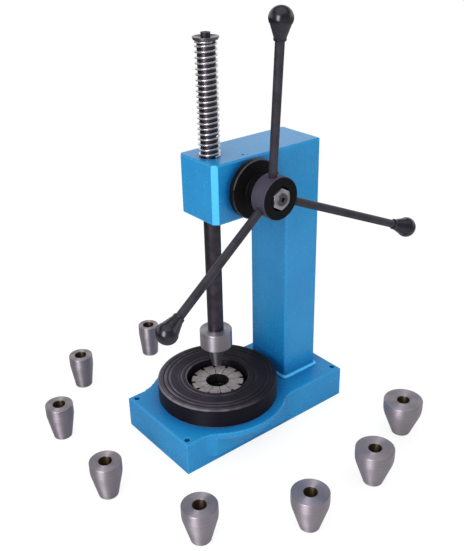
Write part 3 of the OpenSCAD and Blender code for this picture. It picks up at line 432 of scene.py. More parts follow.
class Nodes:
    """The nodes of one material or of the world."""

    def __init__(self, tree):
        self.tree = tree
        tree.nodes.clear()

    def node(self, kind, settings=None, sockets=None):
        """Add a node: its settings come first, then the value or the link of each socket."""
        node = self.tree.nodes.new(kind)
        for name, value in (settings or {}).items():
            setattr(node, name, value)
        for name, value in (sockets or {}).items():
            if isinstance(value, Number):
                value = value.socket
            if isinstance(value, bpy.types.NodeSocket):
                self.tree.links.new(value, node.inputs[name])
            else:
                node.inputs[name].default_value = value
        return node

    def number(self, kind, settings=None, sockets=None, output=0):
        return Number(self, self.node(kind, settings, sockets).outputs[output])

    def place(self):
        """Object coordinates, which are the frame's own."""
        return self.node("ShaderNodeTexCoord").outputs["Object"]

    def parts(self, vector):
        """The three numbers of a vector."""
        return [Number(self, part) for part in self.node("ShaderNodeSeparateXYZ", None, {0: vector}).outputs]

    def vector(self, operation, *values):
        """Outputs of Vector Math."""
        return self.node("ShaderNodeVectorMath", {"operation": operation}, dict(enumerate(values))).outputs

    def dot(self, first, second):
        return Number(self, self.vector("DOT_PRODUCT", first, second)["Value"])

    def surface(self):
        """Turns round a turned piece or wire, and metres along its outline."""
        return self.parts(self.node("ShaderNodeTexCoord").outputs["UV"])[:2]

    def attribute(self, name):
        return self.number("ShaderNodeAttribute", {"attribute_name": name}, None, "Fac")

    def from_axis(self, axis_point=(0, 0, 0), across=(1, 1, 0)):
        """Distance from an axis through a point, upright unless across says otherwise."""
        away = self.vector("SUBTRACT", self.place(), axis_point)[0]
        return Number(self, self.vector("LENGTH", self.vector("MULTIPLY", away, across)[0])["Value"])

    def noise(self, scale, detail):
        """Uneven patches, as many to the metre as the scale says."""
        return self.number("ShaderNodeTexNoise", None, {"Vector": self.place(), "Scale": scale, "Detail": detail})

    def lines(self, position, scale, detail):
        """Uneven fine lines across a position, as a tool leaves them."""
        return self.number("ShaderNodeTexNoise", {"noise_dimensions": "1D"},
                           {"W": position, "Scale": scale, "Detail": detail})

    def mix(self, share, first, second):
        """Colour between two colours."""
        ends = [end if isinstance(end, bpy.types.NodeSocket) else (*end, 1.0) for end in (first, second)]
        return self.node("ShaderNodeMix", {"data_type": "RGBA"}, {0: share, 6: ends[0], 7: ends[1]}).outputs[2]

    def over(self, colour_under, *coats):
        """Colour under coats, each with its share and its colour."""
        for share, coat_colour in coats:
            colour_under = self.mix(share, colour_under, coat_colour)
        return colour_under

    def flat(self):
        """Normal of the surface as it was made."""
        return self.node("ShaderNodeNewGeometry").outputs["Normal"]

    def facing(self, direction):
        """1 where the surface faces in a direction, 0 square to it and -1 where it faces away."""
        return self.dot(self.node("ShaderNodeTexCoord").outputs["Normal"], direction)

    def along(self, direction, centre):
        """Distance from a centre along a direction."""
        return self.dot(self.vector("SUBTRACT", self.place(), centre)[0], direction)

    def along_axis(self, axis):
        """1 where the surface faces along an axis, either way, and 0 where it stands square to it."""
        share = self.facing(axis)
        return share * share

    def soft_edges(self, radius):
        """Normal that rounds sharp edges, and a mask of those edges."""
        normal = self.node("ShaderNodeBevel", {"samples": 6}, {"Radius": radius}).outputs[0]
        return normal, (1 - self.dot(normal, self.flat())).span(0.01, 0.25)

    def shelter(self, distance):
        """0 in the open, and up to 1 in corners and beside other pieces."""
        return 1 - self.number("ShaderNodeAmbientOcclusion", {"samples": 8}, {"Distance": distance}, "AO")

    def bump(self, height, strength, distance, normal=None):
        """Normal of a rough surface, on top of another normal where one is given."""
        sockets = {"Height": height, "Strength": strength, "Distance": distance}
        if normal:
            sockets["Normal"] = normal
        return self.node("ShaderNodeBump", None, sockets).outputs[0]

    def shader(self, sockets):
        """Principled shader, joined to the material's output."""
        shader = self.node("ShaderNodeBsdfPrincipled", None, sockets)
        self.node("ShaderNodeOutputMaterial", None, {"Surface": shader.outputs[0]})


def new_finish(name):
    """Empty material and its nodes."""
    material = bpy.data.materials.new(name)
    material.use_nodes = True
    return material, Nodes(material.node_tree)


# Finishes

# Where on the press a finish changes, in metres: two numbers give the start and the end of a soft change
HEAD_CORNER = (0.7071, -0.7071, 0)
DROP_HOLE_R = (0.0205, 0.022)
BASE_SIDE_TOP = (0.03, 0.045)
JOINT_PLAY = 0.001
GROUND_JOINT = (0.005, 0.009)
FAR_UNDER_HEAD = (-0.2, -0.19)
HUB_INNER_R, HUB_OUTER_R = (0.0205, 0.0225), (0.030, 0.033)
# Side of the ring towards the lights, where its top and its rubbed metal are painted lighter as painted reflection and
# highlights
RING_LIT_FRONT = (-0.2, -0.98, 0.0)
# Rings on the top of the ring: bare metal, painted bright towards the front as painted highlight lines
WORN_AND_LIT_RINGS = (0.0500, 0.0665, 0.0727, 0.0795)
WORN_AND_LIT_RING_W = (0.0003, 0.0011)

# Gloss: the cast of blackened steel, and lights drawn out square to tool lines
OXIDE_CAST = (0.9, 0.86, 1.0, 1.0)
DRAWN_OUT = {"Anisotropic": 0.8, "Anisotropic Rotation": 0.25}

# What is left of red, green and blue where steel has yellowed
YELLOWED = (0.95, 0.8, 0.65)


def toned(tone, factor):
    """A colour made darker or lighter."""
    return tuple(min(1.0, factor * c) for c in tone)


def enamel(colours):
    """Blue gloss enamel: patches of deeper colour, painted shade in the corners and beside other pieces, orange peel,
    and edges and the crest of the weld painted lighter, partly thin paint and partly a painted highlight. The front
    corner of the head is painted as a bright highlight. It runs without a break over the joint between the column and
    the head, which was ground flush, and the drop hole in the base is left as bare steel painted near black, as
    painted shade."""
    material, nodes = new_finish("blue enamel")
    depth, height = nodes.parts(nodes.place())[1:]
    off_joint = height - cad_box("head")[0][2]
    # Painted highlight: the front corner of the head is painted bright
    corner = nodes.along_axis(HEAD_CORNER).span(0.9, 0.98) * off_joint.span(-JOINT_PLAY, JOINT_PLAY)
    # Painted shade: the drop hole in the base is painted near black
    bare = (1 - nodes.from_axis(RAM_AXIS).span(*DROP_HOLE_R)) * (1 - off_joint.span(*FAR_UNDER_HEAD))
    column_front = cad_box("column")[0][1]
    on_column = depth.span(column_front - JOINT_PLAY, column_front + JOINT_PLAY)
    ground = on_column * (1 - (off_joint * off_joint).span(*np.square(GROUND_JOINT)))
    normal = nodes.soft_edges(0.0016)[0]
    normal = nodes.node("ShaderNodeMix", {"data_type": "VECTOR"}, {0: ground, 4: normal, 5: nodes.flat()}).outputs[1]
    edge = nodes.soft_edges(0.0042)[1] * (1 - ground)
    patches = nodes.noise(14, 3).span(0.3, 0.7)
    flecks = nodes.noise(260, 4)
    # Edges and the weld's crest painted lighter: partly thin paint and partly a painted highlight
    thin = (edge * (0.1 + 0.4 * flecks)).above(0.7 * nodes.attribute("wear"))
    # Painted shade: corners and places beside other pieces are painted darker from ambient occlusion, less so on the
    # sides of the base
    base_side = (1 - height.span(*BASE_SIDE_TOP)) * (1 - nodes.facing(UP).span(0.2, 0.6))
    corner_shade = 0.8 * nodes.shelter(0.06).span(0.05, 0.6) * (1 - base_side)
    colour_here = nodes.over(
        nodes.mix(patches, colours.paint_shade, colours.paint), (corner_shade, colours.paint_in_shade),
        (thin, colours.paint_edge_thin_and_lit), (corner, colours.paint_corner_highlight), (bare, toned(colours.dark_steel, 0.2)))
    dull = nodes.facing(-UP).span(0.02, 0.3)
    peel = nodes.noise(420, 2) + 2.5 * nodes.noise(45, 2)
    nodes.shader({
        "Base Color": colour_here, "Roughness": 0.2 + 0.12 * flecks + 0.45 * dull, "Specular IOR Level": 0.5,
        "Normal": nodes.bump(peel, 0.1, 0.0004, normal)})
    return material


def blackened(tone, worn):
    """Blackened turned steel of the ring: tool lines, bare metal on rubbed edges and in worn rings on its top, both
    painted far brighter towards the front as painted highlights, a top painted lighter towards the front as a
    painted reflection, and oil stains."""
    material, nodes = new_finish("ring black")
    along = nodes.surface()[1]
    cuts = nodes.lines(along, 1500, 3)
    bands = nodes.lines(along, 260, 2)
    stains = nodes.noise(55, 4)
    on_top = nodes.along_axis(UP).span(0.5, 0.95)
    patches = 0.4 + 0.6 * nodes.noise(60, 3).span(0.35, 0.75)
    # Painted reflection and highlights: the ring is painted lighter on its side towards the lights
    front = nodes.along(RING_LIT_FRONT, RAM_AXIS).span(-0.04, 0.1)
    rubbed = nodes.attribute("wear").span(0.2, 0.9)
    from_axis = nodes.from_axis(RAM_AXIS)
    for radius in WORN_AND_LIT_RINGS:
        off_ring = from_axis - radius
        rubbed = rubbed.above(0.6 * on_top * (1 - (off_ring * off_ring).span(*np.square(WORN_AND_LIT_RING_W))))
    # Rubbed metal is painted much brighter towards the front: partly wear and partly painted highlights
    colour_here = nodes.over(
        nodes.mix(bands * stains, toned(tone, 0.7), toned(tone, 1.6)),
        (on_top * front * (0.55 + 0.45 * stains), toned(tone, 5)), ((0.03 + 0.8 * front) * rubbed * patches, worn))
    nodes.shader({
        "Base Color": colour_here, "Roughness": 0.38 + 0.16 * bands, "Metallic": 0.35 * front * rubbed * patches,
        "Specular IOR Level": 0.15, "Specular Tint": OXIDE_CAST, **DRAWN_OUT,
        "Normal": nodes.bump(cuts + 0.8 * bands, 0.25, 0.0003)})
    return material


def black_paint(name, tone, specular, roughness):
    """Satin black over cast or drawn metal: a fine grain and faint stains."""
    material, nodes = new_finish(name)
    grain = nodes.noise(900, 3)
    stains = nodes.noise(60, 4)
    colour_here = nodes.mix(stains.span(0.3, 0.7), toned(tone, 0.75), toned(tone, 1.35))
    normal = nodes.soft_edges(0.0006)[0]
    nodes.shader({
        "Base Color": colour_here, "Roughness": roughness - 0.1 + 0.2 * stains, "Specular IOR Level": specular,
        "Specular Tint": OXIDE_CAST, "Normal": nodes.bump(grain, 0.15, 0.0002, normal)})
    return material


def hub_paint(colours):
    """Black of the hub and the flange: flat black, a grey rim of the hub, partly polished by hands and partly a
    painted sheen, and edges rubbed thin."""
    material, nodes = new_finish("satin black")
    grain = nodes.noise(900, 3)
    stains = nodes.noise(60, 4)
    bands = nodes.lines(nodes.surface()[1], 700, 3)
    from_axis = nodes.from_axis(HUB_AXIS, (0, 1, 1))
    past_hub = from_axis.span(*HUB_OUTER_R)
    on_hub = from_axis.span(*HUB_INNER_R) * (1 - past_hub)
    # Rim painted lighter than the faces: partly polish and partly a painted sheen
    rim = on_hub * (1 - nodes.along_axis(OUT_OF_HEAD).span(0.3, 0.9))
    rubbed = nodes.attribute("wear").span(0.2, 0.9) * stains.span(0.3, 0.6) * past_hub
    colour_here = nodes.over(
        nodes.mix(bands * stains, toned(colours.hub_rim_polish_and_sheen, 0.7), toned(colours.hub_rim_polish_and_sheen, 1.7)),
        (1 - rim, colours.hub_black), (0.2 * rubbed, colours.worn_and_lit_black))
    nodes.shader({
        "Base Color": colour_here, "Roughness": 0.34 + 0.16 * stains, "Specular IOR Level": 0.1,
        "Normal": nodes.bump(grain + 2 * bands, 0.12, 0.0002)})
    return material


def moulded_black(tone):
    """Gloss black moulded plastic: a slight waviness and rubbed patches."""
    material, nodes = new_finish("gloss black")
    waves = nodes.noise(70, 2)
    rubbed = nodes.noise(160, 4).span(0.45, 0.8)
    colour_here = nodes.mix(rubbed, tone, toned(tone, 1.8))
    nodes.shader({
        "Base Color": colour_here, "Roughness": 0.2 + 0.08 * rubbed, "Specular IOR Level": 0.9,
        "Specular Tint": OXIDE_CAST, "Normal": nodes.bump(waves, 0.03, 0.001)})
    return material


def lathe_steel(name, tone, bore, roughness):
    """Turned steel: fine tool lines round the piece that draw its lights out along it, soft bands, a light tarnish,
    and a darker brown in its bore, partly oil stain and partly painted shade."""
    material, nodes = new_finish(name)
    along = nodes.surface()[1]
    cuts = nodes.lines(along, 2600, 3)
    bands = nodes.lines(along, 340, 3)
    stains = nodes.noise(75, 4)
    tarnish = (bands * stains).span(0.08, 0.45)
    colour_here = nodes.mix(tarnish, toned(tone, 0.92), toned(tone, 1.06))
    # Bores painted a darker brown: partly oil stain and partly painted shade
    colour_here = nodes.mix(nodes.attribute("hollow").span(0.4, 0.8), colour_here, bore)
    nodes.shader({
        "Base Color": colour_here, "Metallic": 1.0, "Roughness": roughness - 0.07 + 0.14 * stains,
        **DRAWN_OUT, "Normal": nodes.bump(cuts + 0.2 * bands, 0.05, 0.0002)})
    return material


def plain_steel(name, tone, roughness, grain=600):
    """Ground steel of a CAD node: fine grain, stains, and softened edges that are painted lighter as a painted
    highlight.
    """
    material, nodes = new_finish(name)
    marks = nodes.noise(grain, 3)
    stains = nodes.noise(80, 4)
    normal, edge = nodes.soft_edges(0.0005)
    colour_here = nodes.mix(stains.span(0.3, 0.7), toned(tone, 0.75), toned(tone, 1.15))
    # Painted highlight: edges are painted lighter
    colour_here = nodes.mix(0.5 * edge, colour_here, toned(tone, 1.7))
    nodes.shader({
        "Base Color": colour_here, "Metallic": 1.0, "Roughness": roughness - 0.08 + 0.16 * marks,
        "Normal": nodes.bump(marks, 0.15, 0.0002, normal)})
    return material


def collet_steel(tone):
    """Steel faced on the lathe: rings about the ram's axis, jaws that have yellowed more or less, painted shade on the
    upright faces such as the walls of the bore, stains, and edges painted bright, partly wear and partly a painted
    highlight."""
    material, nodes = new_finish("collet steel")
    rings = nodes.lines(nodes.from_axis(RAM_AXIS), 900, 3)
    stains = nodes.noise(120, 4)
    normal, edge = nodes.soft_edges(0.0004)
    yellowed = nodes.noise(38, 1).span(0.45, 0.7)
    # Painted shade: faces that stand upright, such as the walls of the bore, are painted near black
    upright_shade = 1 - nodes.along_axis(UP).span(0.1, 0.5)
    # Edges painted bright: partly wear and partly a painted highlight
    colour_here = nodes.over(
        nodes.mix((rings * stains).span(0.12, 0.42), toned(tone, 0.75), toned(tone, 1.2)),
        (0.6 * yellowed, [share * c for share, c in zip(YELLOWED, tone)]), (0.9 * upright_shade, toned(tone, 0.1)),
        (0.6 * edge, toned(tone, 1.8)))
    nodes.shader({
        "Base Color": colour_here, "Metallic": 1.0, "Roughness": 0.34 + 0.16 * stains,
        "Normal": nodes.bump(rings, 0.2, 0.0002, normal)})
    return material


def drawn_wire(tone):
    """Bright drawn wire: faint lines along it and a few dull patches."""
    material, nodes = new_finish("drawn wire")
    round_wire, along = nodes.surface()
    draw_lines = nodes.lines(round_wire, 40, 2)
    dull = nodes.lines(along, 60, 3).span(0.45, 0.75)
    nodes.shader({
        "Base Color": nodes.mix(dull, tone, toned(tone, 0.7)), "Metallic": 1.0,
        "Roughness": 0.26 + 0.14 * dull, "Normal": nodes.bump(draw_lines, 0.1, 0.0001)})
    return material


# Operators

# Weld bead: steps to a ripple and across, waves of its wobble round the column, and its form as shares of its leg
RIPPLE_STEPS, BEAD_STEPS = 6, 9
WOBBLE_WAVES = (17, 5)
BEAD_REACH, BEAD_HOLLOW = 0.86, 0.05

# Springs: steps to a turn, and the turns at each end that lie closed and that open up
GARTER_STEPS, SPRING_STEPS = 10, 40
CLOSED_TURNS, OPENING_TURNS = 0.27, 0.9

KNOB_STEPS = 24
JAW_SHARE = 360 / len(JAWS)


class PRESS_OT_frame(bpy.types.Operator):
    """Paint the base, the column and the head, and lay the weld bead round the foot of the column"""

    bl_idname = "press.frame"
    bl_label = "Painted frame"

    def execute(self, context):
        sizes = context.scene.press_sizes
        paint = enamel(context.scene.press_colours)
        coat(paint, "base", "column", "head")
        stand_in(self.bead(sizes), paint, "foot_weld")
        return {"FINISHED"}

    def bead(self, sizes):
        """Weld bead: a quarter-round section carried round the column, at foot + outward * d(k) + up * h(k), with
        its bulge rising and falling with the distance along the path."""
        low, high = cad_box("foot_weld")
        centre = (low + high) / 2
        leg = high[2] - low[2]
        half = (high - low)[:2] / 2 - leg
        corners = [[x, y, sizes.weld_corner_r] for x, y in np.array([[-1, -1], [1, -1], [1, 1], [-1, 1]]) * half]
        outline = rounded(corners)[0]
        loop = np.concatenate([outline, outline[:1]])
        run = np.concatenate([[0], np.cumsum(np.linalg.norm(np.diff(loop, axis=0), axis=1))])
        steps = int(run[-1] / sizes.weld_pitch) * RIPPLE_STEPS
        at = np.linspace(0, run[-1], steps, endpoint=False)
        foot = np.stack([np.interp(at, run, loop[:, k]) for k in (0, 1)], axis=1)
        ahead = np.roll(foot, -1, axis=0) - np.roll(foot, 1, axis=0)
        outward = np.stack([ahead[:, 1], -ahead[:, 0]], axis=1) / np.linalg.norm(ahead, axis=1, keepdims=True)
        phase = at / sizes.weld_pitch * 2 * np.pi
        waves = np.array(WOBBLE_WAVES)[:, None] * at / run[-1] * 2 * np.pi
        ripple = sizes.weld_ripple * (np.abs(np.sin(phase / 2)) + 0.7 * np.sin(waves).prod(0))
        angle = np.linspace(0, np.pi / 2, BEAD_STEPS)
        bulge = BEAD_REACH * leg + (ripple[:, None] - BEAD_HOLLOW * leg) * np.sin(2 * angle)[None]
        across = np.concatenate([bulge * np.sin(angle), np.full((steps, 2), -sizes.weld_tuck)], axis=1)
        rise = np.concatenate([bulge * np.cos(angle), np.tile([0.0, leg / 2], (steps, 1))], axis=1)
        places = np.zeros((steps, across.shape[1], 3))
        places[..., :2] = foot[:, None] + outward[:, None] * across[..., None] + centre[:2]
        places[..., 2] = low[2] + rise
        faces, corner = grid_faces(*places.shape[:2], True)
        surface = corner / [places.shape[1], steps / run[-1]]
        # The crest is marked as wear, which the enamel paints lighter, partly as thin paint and partly as a painted
        # highlight
        crest = np.concatenate([np.sin(2 * angle), [0, 0]])
        return piece("weld_bead", places.reshape(-1, 3), faces.tolist(), surface, wear=np.tile(crest, steps))


class PRESS_OT_ring(bpy.types.Operator):
    """Turn the heavy ring with its grooves and worn edge"""

    bl_idname = "press.ring"
    bl_label = "Ring"

    def execute(self, context):
        sizes, colours = context.scene.press_sizes, context.scene.press_colours
        low, high = RING_LOW[2], RING_HIGH[2]
        outer = cad_radius("ring", 0)
        hole = cad_radius("jaw_guide_plate", 0)
        fine = sizes.fine_edge
        corners = [[hole, low, fine], [outer, low, 2 * fine], [outer, high, sizes.ring_edge_r]]
        for middle in (sizes.groove_r + sizes.groove_step, sizes.groove_r, sizes.inner_groove_r):
            corners += [[middle + sizes.groove_w, high, fine / 2], [middle, high - sizes.groove_d, fine / 2],
                        [middle - sizes.groove_w, high, fine / 2]]
        corners.append([hole, high, sizes.ring_lip])
        ring = turned("heavy_ring", corners, RAM_AXIS, sides=192)
        stand_in(ring, blackened(colours.ring_black, colours.worn_and_lit_black), "ring")
        return {"FINISHED"}


class PRESS_OT_collet(bpy.types.Operator):
    """Finish the jaws and their guide plate, and wind the garter spring that closes the jaws"""

    bl_idname = "press.collet"
    bl_label = "Split collet"

    def execute(self, context):
        sizes, colours = context.scene.press_sizes, context.scene.press_colours
        coat(collet_steel(colours.jaw), *[f"jaw_{i}" for i in JAWS])
        coat(plain_steel("guide steel", colours.dark_steel, roughness=0.4), "jaw_guide_plate")
        finish = drawn_wire(colours.wire)
        low, high = cad_box("garter_spring")
        coil = (high[2] - low[2] - sizes.garter_wire) / 2
        middle = (high[0] - low[0] - (high[2] - low[2])) / 2
        centre = RAM_AXIS + UP * (low[2] + high[2]) / 2
        for i in JAWS:
            start, end = np.radians(JAW_SHARE * np.array([i - 1, i]))
            share = np.linspace(0, 1, sizes.garter_turns * GARTER_STEPS + 1)[:, None]
            angle = start + (end - start) * share
            spoke = np.concatenate([np.cos(angle), np.sin(angle), 0 * angle], axis=1)
            twist = share * sizes.garter_turns * 2 * np.pi
            out = np.cos(twist) * spoke + np.sin(twist) * UP
            path = centre + middle * spoke + coil * out
            wound = wire(f"garter_coil_{i}", path, out, sizes.garter_wire / 2, sides=6)
            wound.data.materials.append(finish)
            if i == JAWS[0]:
                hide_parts("garter_spring")
            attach(wound, NODES[f"jaw_{i}"]["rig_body"])
        return {"FINISHED"}


class PRESS_OT_hub(bpy.types.Operator):
    """Turn the bearing flange and the hub, and finish the washer, the nut and the shaft"""

    bl_idname = "press.hub"
    bl_label = "Hub and bearing"

    def execute(self, context):
        sizes, colours = context.scene.press_sizes, context.scene.press_colours
        fine = sizes.fine_edge
        satin = hub_paint(colours)
        sleeve_end = cad_box("bearing_flange")[1][0]
        head_side = cad_box("head")[1][0]
        outer = cad_radius("bearing_flange", 2)
        back = head_side + sizes.flange_gap
        front = back + sizes.flange_t
        flange = turned("flange_and_sleeve", [
            [sizes.flange_bore_r, head_side, fine], [sizes.boss_r, head_side, fine], [sizes.boss_r, back, fine],
            [outer, back, fine], [outer, front, 2 * fine], [sizes.sleeve_r, front, 3 * fine],
            [sizes.sleeve_r, sleeve_end, fine], [sizes.flange_bore_r, sleeve_end, fine]],
            HUB_AXIS, OUT_OF_HEAD, sides=128)
        stand_in(flange, satin, "bearing_flange")
        hub_r = cad_radius("hub", 2)
        nut_seat = HUB_HIGH[0] - sizes.nut_recess
        hub = turned("spoke_hub", [
            [sizes.seat_r, HUB_LOW[0], fine], [hub_r, HUB_LOW[0], sizes.hub_edge],
            [hub_r, HUB_HIGH[0], sizes.hub_edge], [sizes.nut_recess_r, HUB_HIGH[0], fine],
            [sizes.nut_recess_r, nut_seat, fine], [sizes.seat_r, nut_seat, fine]],
            HUB_AXIS, OUT_OF_HEAD, sides=128)
        stand_in(hub, satin, "hub")
        coat(satin, "hub_washer")
        coat(plain_steel("nut steel", colours.nut, roughness=0.34), "hub_nut")
        coat(plain_steel("shaft steel", colours.shaft, roughness=0.4), "pinion_shaft", "pinion", "drive_keys")
        return {"FINISHED"}


class PRESS_OT_handles(bpy.types.Operator):
    """Turn the three handle rods and their knobs"""

    bl_idname = "press.handles"
    bl_label = "Handles"

    def execute(self, context):
        sizes, colours = context.scene.press_sizes, context.scene.press_colours
        fine = sizes.fine_edge
        rod_finish = black_paint("rod black", colours.rod_black, specular=0.6, roughness=0.42)
        knob_finish = moulded_black(colours.knob_black)
        for i in HANDLES:
            points = cad_points(f"handle_rod_{i}")
            centre = points.mean(0)
            axis = np.linalg.svd(points - centre, full_matrices=False)[2][0]
            axis = axis * np.sign(axis @ (centre - HUB_AXIS - OUT_OF_HEAD * centre[0]))
            along = (points - centre) @ axis
            rod_r = np.linalg.norm(points - centre - along[:, None] * axis, axis=1).max()
            rod = turned(f"rod_{i}", [[0, along.min(), 0], [rod_r, along.min(), fine], [rod_r, along.max(), fine],
                                      [0, along.max(), 0]], centre, axis, sides=48, loop=False)
            stand_in(rod, rod_finish, f"handle_rod_{i}")
            knob_points = cad_points(f"handle_knob_{i}") - centre
            knob_along = knob_points @ axis
            knob_r = np.linalg.norm(knob_points - knob_along[:, None] * axis, axis=1)
            ends = knob_along.min(), knob_along[knob_r.argmax()], knob_along.max()
            knob = self.knob(f"knob_{i}", ends, knob_r.max(), sizes, centre, axis)
            stand_in(knob, knob_finish, f"handle_knob_{i}")
        return {"FINISHED"}

    def knob(self, name, ends, widest, sizes, origin, axis):
        """Knob: a rim at the neck, a cone that widens to a crease, and a rounded end of radius widest * cos t at the
        height middle + (tip - middle) * sin t, from the crease to the tip."""
        neck, middle, tip = ends
        first = -np.arcsin(sizes.knob_crease / (tip - middle))
        turn = np.linspace(first, np.pi / 2, KNOB_STEPS)[:-1, None]
        dome = np.concatenate([widest * np.cos(turn), middle + (tip - middle) * np.sin(turn)], axis=1)
        fine, rim_r, rim_end = sizes.fine_edge, sizes.knob_rim_r, neck + sizes.knob_rim_l
        corners = [[0, neck, 0], [rim_r, neck, fine], [rim_r, rim_end, fine / 2],
                   [sizes.knob_neck_r, rim_end, fine / 4], [dome[0, 0] - sizes.knob_lip, dome[0, 1], fine / 4]]
        corners += [[r, z, fine / 4] for r, z in dome] + [[0, tip, 0]]
        return turned(name, corners, origin, axis, sides=64, loop=False)


class PRESS_OT_ram(bpy.types.Operator):
    """Finish the ram and turn its collar, its nose and the dished cap of the spring"""

    bl_idname = "press.ram"
    bl_label = "Ram and nose"

    def execute(self, context):
        sizes, colours = context.scene.press_sizes, context.scene.press_colours
        fine = sizes.fine_edge
        ram_r = cad_radius("ram", 0)
        coat(plain_steel("ram steel", colours.dark_steel, roughness=0.34, grain=350), "ram")
        low, high = cad_box("nose_collar")
        outer = cad_radius("nose_collar", 0)
        collar = turned("nose_collar_turned", [
            [0, low[2], 0], [outer, low[2], sizes.collar_edge], [outer, high[2], sizes.collar_edge],
            [ram_r, high[2], fine], [ram_r - 3 * fine, high[2] - 3 * fine, fine], [0, high[2] - 3 * fine, 0]],
            RAM_AXIS, sides=128, loop=False)
        stand_in(collar, lathe_steel("collar steel", colours.collar, colours.bore, roughness=0.42), "nose_collar")
        tip, root = cad_box("nose")[0][2], low[2]
        nose = turned("nose_turned", [
            [0, tip, 0], [sizes.nose_tip_r, tip, fine], [sizes.nose_root_r, root, fine], [0, root, 0]],
            RAM_AXIS, loop=False)
        # Painted shade: the nose takes a darker copy of the collar's steel
        stand_in(nose, lathe_steel("nose steel", colours.nose, colours.bore, roughness=0.42), "nose")
        low, high = cad_box("spring_cap")
        outer = cad_radius("spring_cap", 0)
        floor = high[2] - sizes.cap_dish
        cap = turned("spring_cap_turned", [
            [0, low[2], 0], [sizes.cap_seat_r, low[2], fine], [outer, high[2] - sizes.cap_rim, fine / 2],
            [outer, high[2], fine / 2], [outer - sizes.cap_rim, high[2], fine / 2],
            [sizes.cap_floor_r, floor, 4 * fine], [0, floor, 0]], RAM_AXIS, loop=False)
        stand_in(cap, lathe_steel("cap steel", colours.cap, colours.bore, roughness=0.42), "spring_cap")
        return {"FINISHED"}


class PRESS_OT_return_spring(bpy.types.Operator):
    """Wind the return spring with closed, ground ends"""

    bl_idname = "press.return_spring"
    bl_label = "Return spring"

    def execute(self, context):
        sizes = context.scene.press_sizes
        low, high = cad_box("head")[1][2], cad_box("spring_cap")[0][2]
        radius = cad_radius("ram", 0) + sizes.spring_gap + sizes.spring_wire / 2
        turn, height = self.climb(sizes.spring_turns, sizes.spring_wire, high - low - sizes.spring_wire)
        spoke = np.stack([np.cos(turn), np.sin(turn), 0 * turn], axis=1)
        path = RAM_AXIS + radius * spoke + UP * (low + sizes.spring_wire / 2 + height)[:, None]
        spring = wire("return_spring_wound", path, spoke, sizes.spring_wire / 2, sides=12)
        stand_in(spring, drawn_wire(context.scene.press_colours.wire), "return_spring")
        stroke = next(joint for joint in frame["joints"] if joint["name"] == "ram_slide")["range_m"][1]
        1 - stroke / (high - low)
        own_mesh(spring)
        return {"FINISHED"}

    def climb(self, turns, closed_pitch, rise):
        """Turn angle and height along the spring: the pitch is one wire at each end and swells to an even pitch,
        and the height is its running sum."""
        count = np.linspace(0, turns, turns * SPRING_STEPS + 1)
        swell = np.clip((np.minimum(count, turns - count) - CLOSED_TURNS) / OPENING_TURNS, 0, 1)
        swell = swell * swell * (3 - 2 * swell)
        step = count[1] - count[0]
        between = (swell[1:] + swell[:-1]) / 2 * step
        open_pitch = (rise - closed_pitch * turns) / between.sum()
        height = closed_pitch * count + open_pitch * np.concatenate([[0], np.cumsum(between)])
        return count * 2 * np.pi, height


class PRESS_OT_mandrels(bpy.types.Operator):
    """Turn the graded set of loose mandrels"""

    bl_idname = "press.mandrels"
    bl_label = "Mandrels"

    def execute(self, context):
        sizes, colours = context.scene.press_sizes, context.scene.press_colours
        finish = lathe_steel("mandrel steel", colours.steel, colours.bore, roughness=0.45)
        edge, bore, foot = sizes.mandrel_edge, sizes.mandrel_bore_r, sizes.mandrel_foot_r
        for i in MANDRELS:
            low, high = cad_box(f"mandrel_{i}")
            outer = cad_radius(f"mandrel_{i}", 0)
            mandrel = turned(f"graded_mandrel_{i}", [
                [bore, low[2], edge], [foot, low[2], edge],
                [outer, high[2] - sizes.mandrel_land, sizes.mandrel_blend_r], [outer, high[2], edge],
                [bore, high[2], edge]], (low + high) / 2 * [1, 1, 0])
            stand_in(mandrel, finish, f"mandrel_{i}")
        return {"FINISHED"}


class PRESS_OT_fittings(bpy.types.Operator):
    """Finish the screws, the bushes and the washers"""

    bl_idname = "press.fittings"
    bl_label = "Screws and bushes"

    def execute(self, context):
        colours = context.scene.press_colours
        coat(black_paint("black oxide", colours.rod_black, specular=0.4, roughness=0.4),
             "ring_screws", "flange_lock_screw", "collar_lock_screw", "cap_screw")
        coat(plain_steel("bearing bronze", colours.bronze, roughness=0.36),
             "upper_ram_bush", "lower_ram_bush", "front_shaft_bush", "rear_shaft_bush", "thrust_washers")
        return {"FINISHED"}


# Room, by the height and the side of the direction in which it is seen: edges of the backdrop and the ceiling, and how
# much lower the ceiling reaches in front
BACKDROP_SIDES, BACKDROP_TOP = (-0.5, 0.5), (0.33, 0.62)
CEILING_EDGE, CEILING_LEAN = (0.75, 0.95), 0.12

# Floor, in metres from the press: where it grows lighter, where it lies in the shade of the press, how deep that shade
# is, and where the shadow ends
FLOOR_CHANGE, FLOOR_SHADE, SHADE_DEPTH = (-0.3, 0.15), (0.08, 0.3), 0.7
SHADOW_END = (0.4, 1.2)


